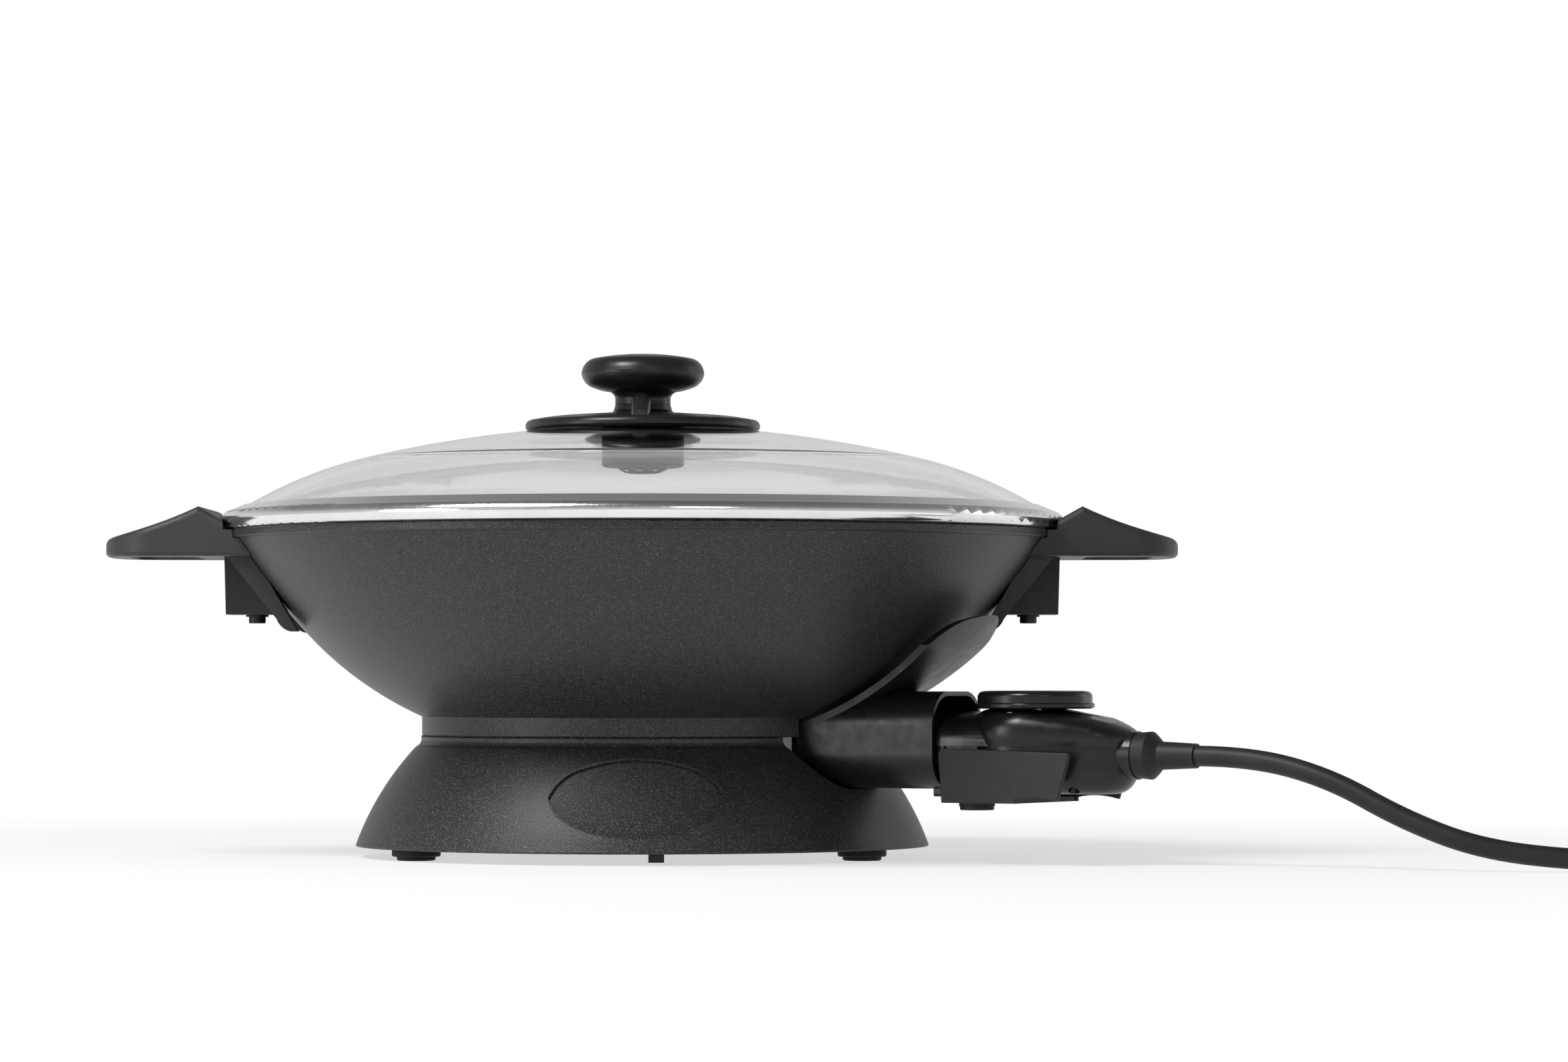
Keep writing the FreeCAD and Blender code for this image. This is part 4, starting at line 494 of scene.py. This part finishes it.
def brass():
    """Brass, a little uneven in colour."""
    made = Recipe("brass", (0.68, 0.47, 0.20), 0.3, metallic=1.0)
    made.colour(made.ramp(made.noise(90.0, 4.0), (0.3, (0.60, 0.40, 0.16)), (0.7, (0.74, 0.53, 0.25))))
    made.bump(made.noise(1500.0, 3.0), 0.00002, 0.4)
    return made.made


def white_print():
    """Matte white ink, thin and a little uneven."""
    made = Recipe("white_print", (0.82, 0.82, 0.82), 0.55)
    made.colour(made.ramp(made.noise(900.0, 3.0), (0.3, 0.72), (0.7, 0.88)))
    made.bump(made.noise(2500.0, 2.0), 0.00002, 0.4)
    return made.made


PLASTICS = {  # grey, roughness, depth of the grain, specular level
    "handle_plastic": (0.027, 0.46, 0.00009, 0.35),
    "knob_plastic": (0.009, 0.33, 0.00003, 0.35),
    "shroud_plastic": (0.008, 0.31, 0.00002, 0.38),
    "probe_plastic": (0.006, 0.27, 0.000012, 0.4),
    "lever_plastic": (0.028, 0.55, 0.00008, 0.25),
    "dial_plastic": (0.008, 0.26, 0.00002, 0.4),
}
METALS = {  # grey, roughness, lay, scale of the marks, their depth, spread of the roughness
    "screw_steel": (0.34, 0.36, (1.0, 1.0, 0.2)),
    "lock_metal": (0.04, 0.42, (0.15, 1.0, 1.0)),
    "element_sheath": (0.22, 0.5, (1.0, 1.0, 1.0), 400.0, 0.00004),
    "pin_metal": (0.84, 0.30, (0.1, 1.0, 1.0)),
    "spring_metal": (0.55, 0.28),
    "band_metal": (0.84, 0.16, (1.0, 1.0, 0.05), 700.0, 0.00001, 0.04),
    "rod_metal": (0.84, 0.22, (0.08, 1.0, 1.0)),
    "black_oxide": (0.035, 0.4, (1.0, 1.0, 0.2)),
}
RUBBERS = {  # grey, roughness, scale of the grain
    "foot_rubber": (0.012, 0.62, 1400.0),
    "gasket_rubber": (0.012, 0.5, 1400.0),
    "cord_rubber": (0.014, 0.5, 900.0),
}
MATERIALS = {
    "bowl_coating": sparkling_coat("bowl_coating", 1.0).made, "stand": stand_coating(),
    "tray_metal": tray_sheet(), "cast_metal": cast_metal(), "ceramic": ceramic(), "lid_glass": clear_glass(),
    "seal_rubber": silicone(), "strainer_metal": metal("strainer_metal", 0.84, 0.38, share=0.6),
    "contact_metal": brass(),
    **{name: moulded_plastic(name, *values) for name, values in PLASTICS.items()},
    **{name: metal(name, *values) for name, values in METALS.items()},
    **{name: rubber(name, *values) for name, values in RUBBERS.items()},
}
BLACKENED = ("lock_studs", "handle_screws", "handle_washers")
WHITE_PRINT = white_print()


def dress_frame():
    """Every CAD node takes the finish of its material slot; a few fasteners are blackened."""
    for part in frame["record"]["subparts"]:
        made = nodes[part["node"]]
        finish = "black_oxide" if part["node"] in BLACKENED else part["material_slot"]
        for place in made.material_slots:
            place.material = MATERIALS[finish]
        if not made.material_slots:
            made.data.materials.append(MATERIALS[finish])


dress_frame()
paint(cord, MATERIALS["cord_rubber"])
paint(tie, woven_strap())


# ---------------------------------------------------------------- upper shell of the probe


# x runs out along the probe from the wok's axis, y across it, z up from the probe's own axis
AXIS_Z = 0.0535
SEAM = -0.0015
SHELL = 0.0022
OVERSHOOT = 0.001  # how far a tool body goes past the face that it cuts
NOSE_X, NOSE_BACK_X, NOSE_HALF, NOSE_HIGH, NOSE_RIM, NOSE_TAIL = 0.134, 0.175, 0.0195, 0.0150, 0.0070, 0.002
LOBE_X, LOBE_BACK_X, LOBE_HALF, LOBE_HIGH, LOBE_RIM, LOBE_TAIL = 0.166, 0.2005, 0.0262, 0.0148, 0.0040, 0.0090
NOSE_POWER, LOBE_POWER = 2.2, 2.5
NOSE_HOLLOW_BACK_X, NOSE_HOLLOW_RIM, LOBE_HOLLOW_RIM = 0.179, 0.005, 0.003
DRUM_X, DRUM_RAD, TAIL_X, TAIL_RAD = 0.203, 0.0280, 0.232, 0.0200
CROWN, CROWN_BEND, CROWN_LIFT, BULGE = 0.0163, 0.0095, 0.0001, 0.0020
TOP_INSET = TAIL_RAD - 0.003
FALL_FROM, FALL_TO, FALL_SHARE = 0.216, 0.256, 0.50
NECK_X, BACK_X, NECK_RAD, NECK_LOW = 0.236, 0.254, 0.0106, -0.0054
BORE_X, BORE_RAD = 0.23, 0.0082
SPINDLE_HOLE, SPINDLE_FROM, SPINDLE_TO = 0.0033, 0.005, 0.02
WAY_APART, WAY_RAD, ROD_HOLE, WAY_BEFORE, WAY_DEEP = 0.0130, 0.0043, 0.0041, 0.002, 0.01
END_STEPS, HOOD_STEPS, DOME_STEPS, PLAN_STEPS = 8, 40, 16, 96
BAR_STEPS, NECK_STEPS, SPINDLE_STEPS = 40, 24, 32
SHELL_CREASE = math.radians(32.0)


def in_probe(x, y, z):
    """A point given along the probe, across it and above its axis."""
    return PROBE_ALONG * x + PROBE_ACROSS * y + UP * (AXIS_Z + z)


def skin(name, rings):
    """A closed body through rings of equally many points."""
    shape = bmesh.new()
    loops = [[shape.verts.new(in_probe(*point)) for point in ring] for ring in rings]
    for before, after in zip(loops, loops[1:]):
        for place, corner in enumerate(before):
            following = (place + 1) % len(before)
            shape.faces.new([corner, before[following], after[following], after[place]])
    shape.faces.new(loops[0])
    shape.faces.new(loops[-1])
    bmesh.ops.recalc_face_normals(shape, faces=shape.faces[:])
    return object_from(shape, name)


def hood(x, half, high, floor, power):
    """An arched section that stands on floor: a superellipse of the given power."""
    ring = []
    for step in range(HOOD_STEPS + 1):
        turn = math.pi * step / HOOD_STEPS
        across, up = math.cos(turn), max(math.sin(turn), 0.0)
        ring.append((x, math.copysign(half * abs(across) ** (2.0 / power), across),
                     floor + high * up ** (2.0 / power)))
    return ring


def hood_body(name, front, back, half, high, rim, tail, power, inset):
    """A length of arched housing with rounded ends, inset for its hollow."""
    floor = SEAM - (OVERSHOOT if inset else 0.0)
    rings = []
    for step in range(END_STEPS + 1):
        turn = math.pi / 2 * step / END_STEPS
        shrink = rim * (1.0 - math.sin(turn)) + inset
        x = front + inset + rim * (1.0 - math.cos(turn))
        rings.append(hood(x, half - shrink, high - shrink + SEAM - floor, floor, power))
    for step in range(END_STEPS + 1):
        turn = math.pi / 2 * step / END_STEPS
        shrink = tail * (1.0 - math.cos(turn)) + inset
        x = back - inset - tail * (1.0 - math.sin(turn))
        rings.append(hood(x, half - shrink, high - shrink + SEAM - floor, floor, power))
    return skin(name, rings)


def pebble(inset):
    """Plan of the body at an inset: the drum run together with the smaller tail."""
    drum, tail = DRUM_RAD - inset, TAIL_RAD - inset
    lean = math.asin((DRUM_RAD - TAIL_RAD) / (TAIL_X - DRUM_X))
    half_tail = math.pi / 2 - lean
    ring = []
    for step in range(PLAN_STEPS):
        turn = -math.pi + 2.0 * math.pi * step / PLAN_STEPS
        centre, rad = (TAIL_X, tail) if abs(turn) <= half_tail else (DRUM_X, drum)
        ring.append((centre + rad * math.cos(turn), rad * math.sin(turn)))
    return ring


def fall(x):
    """Share of the crown's height that is left towards the tail."""
    return 1.0 - FALL_SHARE * ease(x, FALL_FROM, FALL_TO)


def dome(name, inset):
    """The crowned body under the dial, rounded from the seam up to its flat top."""
    floor = SEAM - (OVERSHOOT if inset else 0.0)
    rings = [[(x, y, floor) for x, y in pebble(inset)]]
    sides = []
    for step in range(DOME_STEPS + 1):
        turn = math.pi / 2 * step / DOME_STEPS
        inward = CROWN_BEND * (1.0 - math.cos(turn)) - BULGE * math.sin(2.0 * turn) + inset
        sides.append((inward, math.sin(turn)))
    for inward, share in sides + [(TOP_INSET, 1.0)]:
        rings.append([(x, y, SEAM + (CROWN - inset) * share * fall(x) + CROWN_LIFT)
                      for x, y in pebble(inward)])
    return skin(name, rings)


def bar(name, start, end, across, up, rad):
    """A round bar along the probe."""
    turns = [2 * math.pi * step / BAR_STEPS for step in range(BAR_STEPS)]
    return skin(name, [[(x, across + rad * math.cos(turn), up + rad * math.sin(turn)) for turn in turns]
                       for x in (start, end)])


def way(across, rad):
    """A bar that opens the nose for a contact sleeve or for the rod."""
    return bar("way", NOSE_X - WAY_BEFORE, NOSE_X + WAY_DEEP, across, 0.0, rad)


def spindle_way():
    """An upright bar that opens the top for the dial's spindle."""
    turns = [2 * math.pi * step / SPINDLE_STEPS for step in range(SPINDLE_STEPS)]
    plan = [(DRUM_X + SPINDLE_HOLE * math.cos(turn), SPINDLE_HOLE * math.sin(turn)) for turn in turns]
    return skin("spindle_way", [[(x, y, height) for x, y in plan] for height in (SPINDLE_FROM, SPINDLE_TO)])


def neck():
    """The round neck's part above the seam."""
    dip = math.asin((SEAM - NECK_LOW) / NECK_RAD)
    turns = [dip + (math.pi - 2.0 * dip) * step / NECK_STEPS for step in range(NECK_STEPS + 1)]
    return skin("neck", [[(x, NECK_RAD * math.cos(turn), NECK_LOW + NECK_RAD * math.sin(turn))
                          for turn in turns] for x in (NECK_X, BACK_X)])


def join(made, operation, operands):
    """Unites a body with the operands, or cuts them from it, and clears them away."""
    for operand in operands:
        step = made.modifiers.new(operation, "BOOLEAN")
        step.operation, step.solver, step.object = operation, "EXACT", operand
    mesh = mesh_of(made)
    made.modifiers.clear()
    made.data = mesh
    for operand in operands:
        bpy.data.objects.remove(operand)
    return made


def upper_shell():
    """Upper half of the probe's housing: nose, lobe, crowned body and neck in one hollow shell."""
    shell = join(dome("probe_cover", 0.0), "UNION", [
        hood_body("lobe", LOBE_X, LOBE_BACK_X, LOBE_HALF, LOBE_HIGH, LOBE_RIM, LOBE_TAIL, LOBE_POWER, 0.0),
        hood_body("nose", NOSE_X, NOSE_BACK_X, NOSE_HALF, NOSE_HIGH, NOSE_RIM, NOSE_TAIL, NOSE_POWER, 0.0),
        neck()])
    join(shell, "DIFFERENCE", [
        dome("hollow", SHELL),
        hood_body("hollow_lobe", LOBE_X, LOBE_BACK_X, LOBE_HALF, LOBE_HIGH, LOBE_HOLLOW_RIM, LOBE_TAIL,
                  LOBE_POWER, SHELL),
        hood_body("hollow_nose", NOSE_X, NOSE_HOLLOW_BACK_X, NOSE_HALF, NOSE_HIGH, NOSE_HOLLOW_RIM, NOSE_TAIL,
                  NOSE_POWER, SHELL),
        bar("bore", BORE_X, BACK_X + OVERSHOOT, 0.0, NECK_LOW, BORE_RAD),
        spindle_way(), way(-WAY_APART, WAY_RAD), way(WAY_APART, WAY_RAD), way(0.0, ROD_HOLE)])
    shell.data.shade_smooth()
    shell.data.set_sharp_from_angle(angle=SHELL_CREASE)
    paint(shell, MATERIALS["probe_plastic"])
    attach(shell, "probe")
    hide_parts("probe_housing_upper")
    return shell


probe_cover = upper_shell()


# ---------------------------------------------------------------- markings


PRINT_THICK = 0.00006
PRINT_DROP = 0.03  # how far above its place a mark starts
PRINT_CUTS = 3
DIAL_SWEEP = math.radians(270.0)
DIAL_STEPS = 10
TICK_FROM, TICK_TO, BROAD_TICK_HALF, THIN_TICK_HALF = 0.0170, 0.0190, 0.0004, 0.00022
NUMBERS_AT, NUMBER_SIZE, NUMBER_FINENESS, NUMBER_WELD = 0.0138, 0.0046, 3, 0.00001
POINTER_TIP, POINTER_BASE, POINTER_HALF, POINTER_LEAN = 0.0267, 0.0277, 0.0013, 0.6


def surface_of(made):
    """A tree of an object's faces, to lay markings on."""
    mesh = made.data
    return BVHTree.FromPolygons([v.co for v in mesh.vertices], [p.vertices for p in mesh.polygons])


def lay_on(name, shape, tree, away, body):
    """Drops a flat mesh onto a surface along -away; its ink stands as high over it as it goes under."""
    for vertex in shape.verts:
        spot = tree.ray_cast(vertex.co + away * PRINT_DROP, -away)[0]
        vertex.co = (spot or vertex.co) + away * PRINT_THICK
    under = bmesh.ops.extrude_face_region(shape, geom=shape.faces[:])
    for part in under["geom"]:
        if isinstance(part, bmesh.types.BMVert):
            part.co -= away * 2.0 * PRINT_THICK
    bmesh.ops.recalc_face_normals(shape, faces=shape.faces[:])
    made = object_from(shape, name)
    paint(made, WHITE_PRINT)
    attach(made, body)


def flat_shape(corners):
    """One flat face through points in space, cut fine enough to follow a curved surface."""
    shape = bmesh.new()
    shape.faces.new([shape.verts.new(corner) for corner in corners])
    bmesh.ops.subdivide_edges(shape, edges=shape.edges[:], cuts=PRINT_CUTS, use_grid_fill=True)
    bmesh.ops.triangulate(shape, faces=shape.faces[:])
    return shape


def dial_direction(angle):
    """Unit vector from the dial's middle; angle 0 points at the front side of the probe."""
    return PROBE_ALONG * math.sin(angle) - PROBE_ACROSS * math.cos(angle)


def number_shape(text, at, upward):
    """A plain numeral as a flat mesh that reads with its head along upward."""
    font = bpy.data.curves.new("numeral", "FONT")
    font.body, font.size = text, NUMBER_SIZE
    font.align_x, font.align_y = "CENTER", "CENTER"
    font.resolution_u = NUMBER_FINENESS
    holder = bpy.data.objects.new("numeral", font)
    bpy.context.collection.objects.link(holder)
    mesh = mesh_of(holder)
    bpy.data.objects.remove(holder)
    sideways = upward.cross(UP)
    for vertex in mesh.vertices:
        vertex.co = at + sideways * vertex.co.x + upward * vertex.co.y
    shape = bmesh.new()
    shape.from_mesh(mesh)
    bmesh.ops.remove_doubles(shape, verts=shape.verts[:], dist=NUMBER_WELD)
    bpy.data.meshes.remove(mesh)
    return shape


def mark_dial():
    """Eleven ticks, every other one broad, and the numerals 1 to 5 round the dial's top."""
    tree = surface_of(nodes["dial_knob"])
    for step in range(DIAL_STEPS + 1):
        out = dial_direction(DIAL_SWEEP * step / DIAL_STEPS)
        is_broad = step % 2 == 0
        side = out.cross(UP) * (BROAD_TICK_HALF if is_broad else THIN_TICK_HALF)
        first, last = DIAL_MIDDLE + out * TICK_FROM, DIAL_MIDDLE + out * TICK_TO
        shape = flat_shape([first - side, last - side, last + side, first + side])
        lay_on(f"dial_tick_{step:02d}", shape, tree, UP, "dial")
        if is_broad and step > 0:
            number = step // 2
            shape = number_shape(str(number), DIAL_MIDDLE + out * NUMBERS_AT, out)
            lay_on(f"dial_number_{number}", shape, tree, UP, "dial")


def mark_pointer():
    """White pointer on the housing under the dial's front edge."""
    tip, base = DIAL_MIDDLE - PROBE_ACROSS * POINTER_TIP, DIAL_MIDDLE - PROBE_ACROSS * POINTER_BASE
    half = PROBE_ALONG * POINTER_HALF
    away = (UP - POINTER_LEAN * PROBE_ACROSS).normalized()
    shape = flat_shape([base - half, base + half, tip])
    lay_on("pointer_mark", shape, surface_of(probe_cover), away, "probe")


mark_dial()
mark_pointer()


# ---------------------------------------------------------------- studio


FLOOR_HALF = 12.0
FLOOR_TONE, FLOOR_ROUGHNESS, FLOOR_SHINE = 0.86, 0.7, 0.1
# the floor glows this much up to the first distance from the wok and is plain white from the second on
FLOOR_GLOW, GLOW_NEAR, GLOW_FAR = 0.62, 0.20, 0.8
# the sky's greys from the horizon up, which light the matte surfaces
SKY = ((0.0, 0.06), (1.0, 0.34))
# what polished surfaces see from straight below to straight above: pale walls, a dark ceiling
WALLS = ((0.0, 0.50), (0.47, 0.66), (0.60, 0.66), (0.80, 0.24), (1.0, 0.12))
LAMPS = (  # name, place, aim, width, height, watts
    ("key", (-0.75, -0.75, 1.42), (0.0, 0.0, 0.06), 0.7, 0.6, 27.0),
    ("low_left", (-1.5, -0.9, 0.4), (0.0, 0.0, 0.1), 0.5, 0.8, 6.0),
    ("front", (0.6, -1.9, 1.2), (0.05, 0.0, 0.1), 0.5, 0.5, 2.0),
    ("right_edge", (1.5, 0.6, 0.5), (0.0, 0.0, 0.1), 0.4, 0.9, 1.5),
)


def floor_finish():
    """Matte and pale near the wok, and white further off for all but the light that it throws back."""
    pale = bpy.data.materials.new("pale_floor")
    pale.use_nodes = True
    wiring = Wiring(pale.node_tree)
    matte = pale.node_tree.nodes["Principled BSDF"]
    matte.inputs["Base Color"].default_value = (FLOOR_TONE, FLOOR_TONE, FLOOR_TONE, 1.0)
    matte.inputs["Roughness"].default_value = FLOOR_ROUGHNESS
    matte.inputs["Specular IOR Level"].default_value = FLOOR_SHINE
    white = wiring.node("Emission", Color=(1.0, 1.0, 1.0, 1.0))
    length = wiring.node("VectorMath")
    length.operation = "LENGTH"
    wiring.feed(length.inputs[0], wiring.node("TexCoord").outputs["Object"])
    away = wiring.node("MapRange", Value=length.outputs["Value"], From_Min=GLOW_NEAR, From_Max=GLOW_FAR,
                       To_Min=FLOOR_GLOW)
    away.interpolation_type = "SMOOTHSTEP"
    diffuse = wiring.node("LightPath").outputs["Is Diffuse Ray"]
    seen = wiring.math("MAXIMUM", wiring.math("SUBTRACT", away.outputs["Result"], diffuse), 0.0)
    wiring.blend(seen, matte.outputs["BSDF"], white.outputs["Emission"], "Material Output")
    return pale


def add_floor():
    """Pale floor that runs out, for the eye and in reflections, into the white of the background."""
    shape = bmesh.new()
    corners = [(-1, -1), (1, -1), (1, 1), (-1, 1)]
    shape.faces.new([shape.verts.new((x * FLOOR_HALF, y * FLOOR_HALF, TABLE_Z)) for x, y in corners])
    floor = object_from(shape, "floor")
    paint(floor, floor_finish())


def add_world():
    """White all round for what is seen directly or through glass; a soft sky lights the rest."""
    world = bpy.data.worlds.new("studio")
    world.use_nodes = True
    bpy.context.scene.world = world
    wiring = Wiring(world.node_tree)
    axes = wiring.node("SeparateXYZ", Vector=wiring.node("TexCoord").outputs["Generated"]).outputs
    sky = wiring.ramp(axes["Z"], *SKY)
    height = wiring.node("MapRange", Value=axes["Z"], From_Min=-1.0).outputs["Result"]
    walls = wiring.ramp(height, *WALLS)
    path = wiring.node("LightPath").outputs
    lit = world.node_tree.nodes["Background"]
    wiring.feed(lit.inputs["Color"], wiring.mix(path["Is Glossy Ray"], sky, walls))
    white = wiring.node("Background", Color=(1.0, 1.0, 1.0, 1.0))
    seen = wiring.math("MAXIMUM", path["Is Camera Ray"], path["Is Transmission Ray"])
    wiring.blend(seen, lit.outputs["Background"], white.outputs["Background"], "World Output")


def add_lamp(name, at, towards, width, height, watts):
    """A rectangular lamp that isn't itself seen by the camera or through the glass."""
    lamp = bpy.data.lights.new(name, "AREA")
    lamp.shape, lamp.size, lamp.size_y, lamp.energy = "RECTANGLE", width, height, watts
    made = bpy.data.objects.new(name, lamp)
    made.location = at
    made.rotation_euler = (Vector(towards) - Vector(at)).to_track_quat("-Z", "Y").to_euler()
    made.visible_camera = False
    made.visible_transmission = False
    bpy.context.collection.objects.link(made)


add_floor()
add_world()
for values in LAMPS:
    add_lamp(*values)

bpy.context.scene.view_settings.view_transform = "Standard"
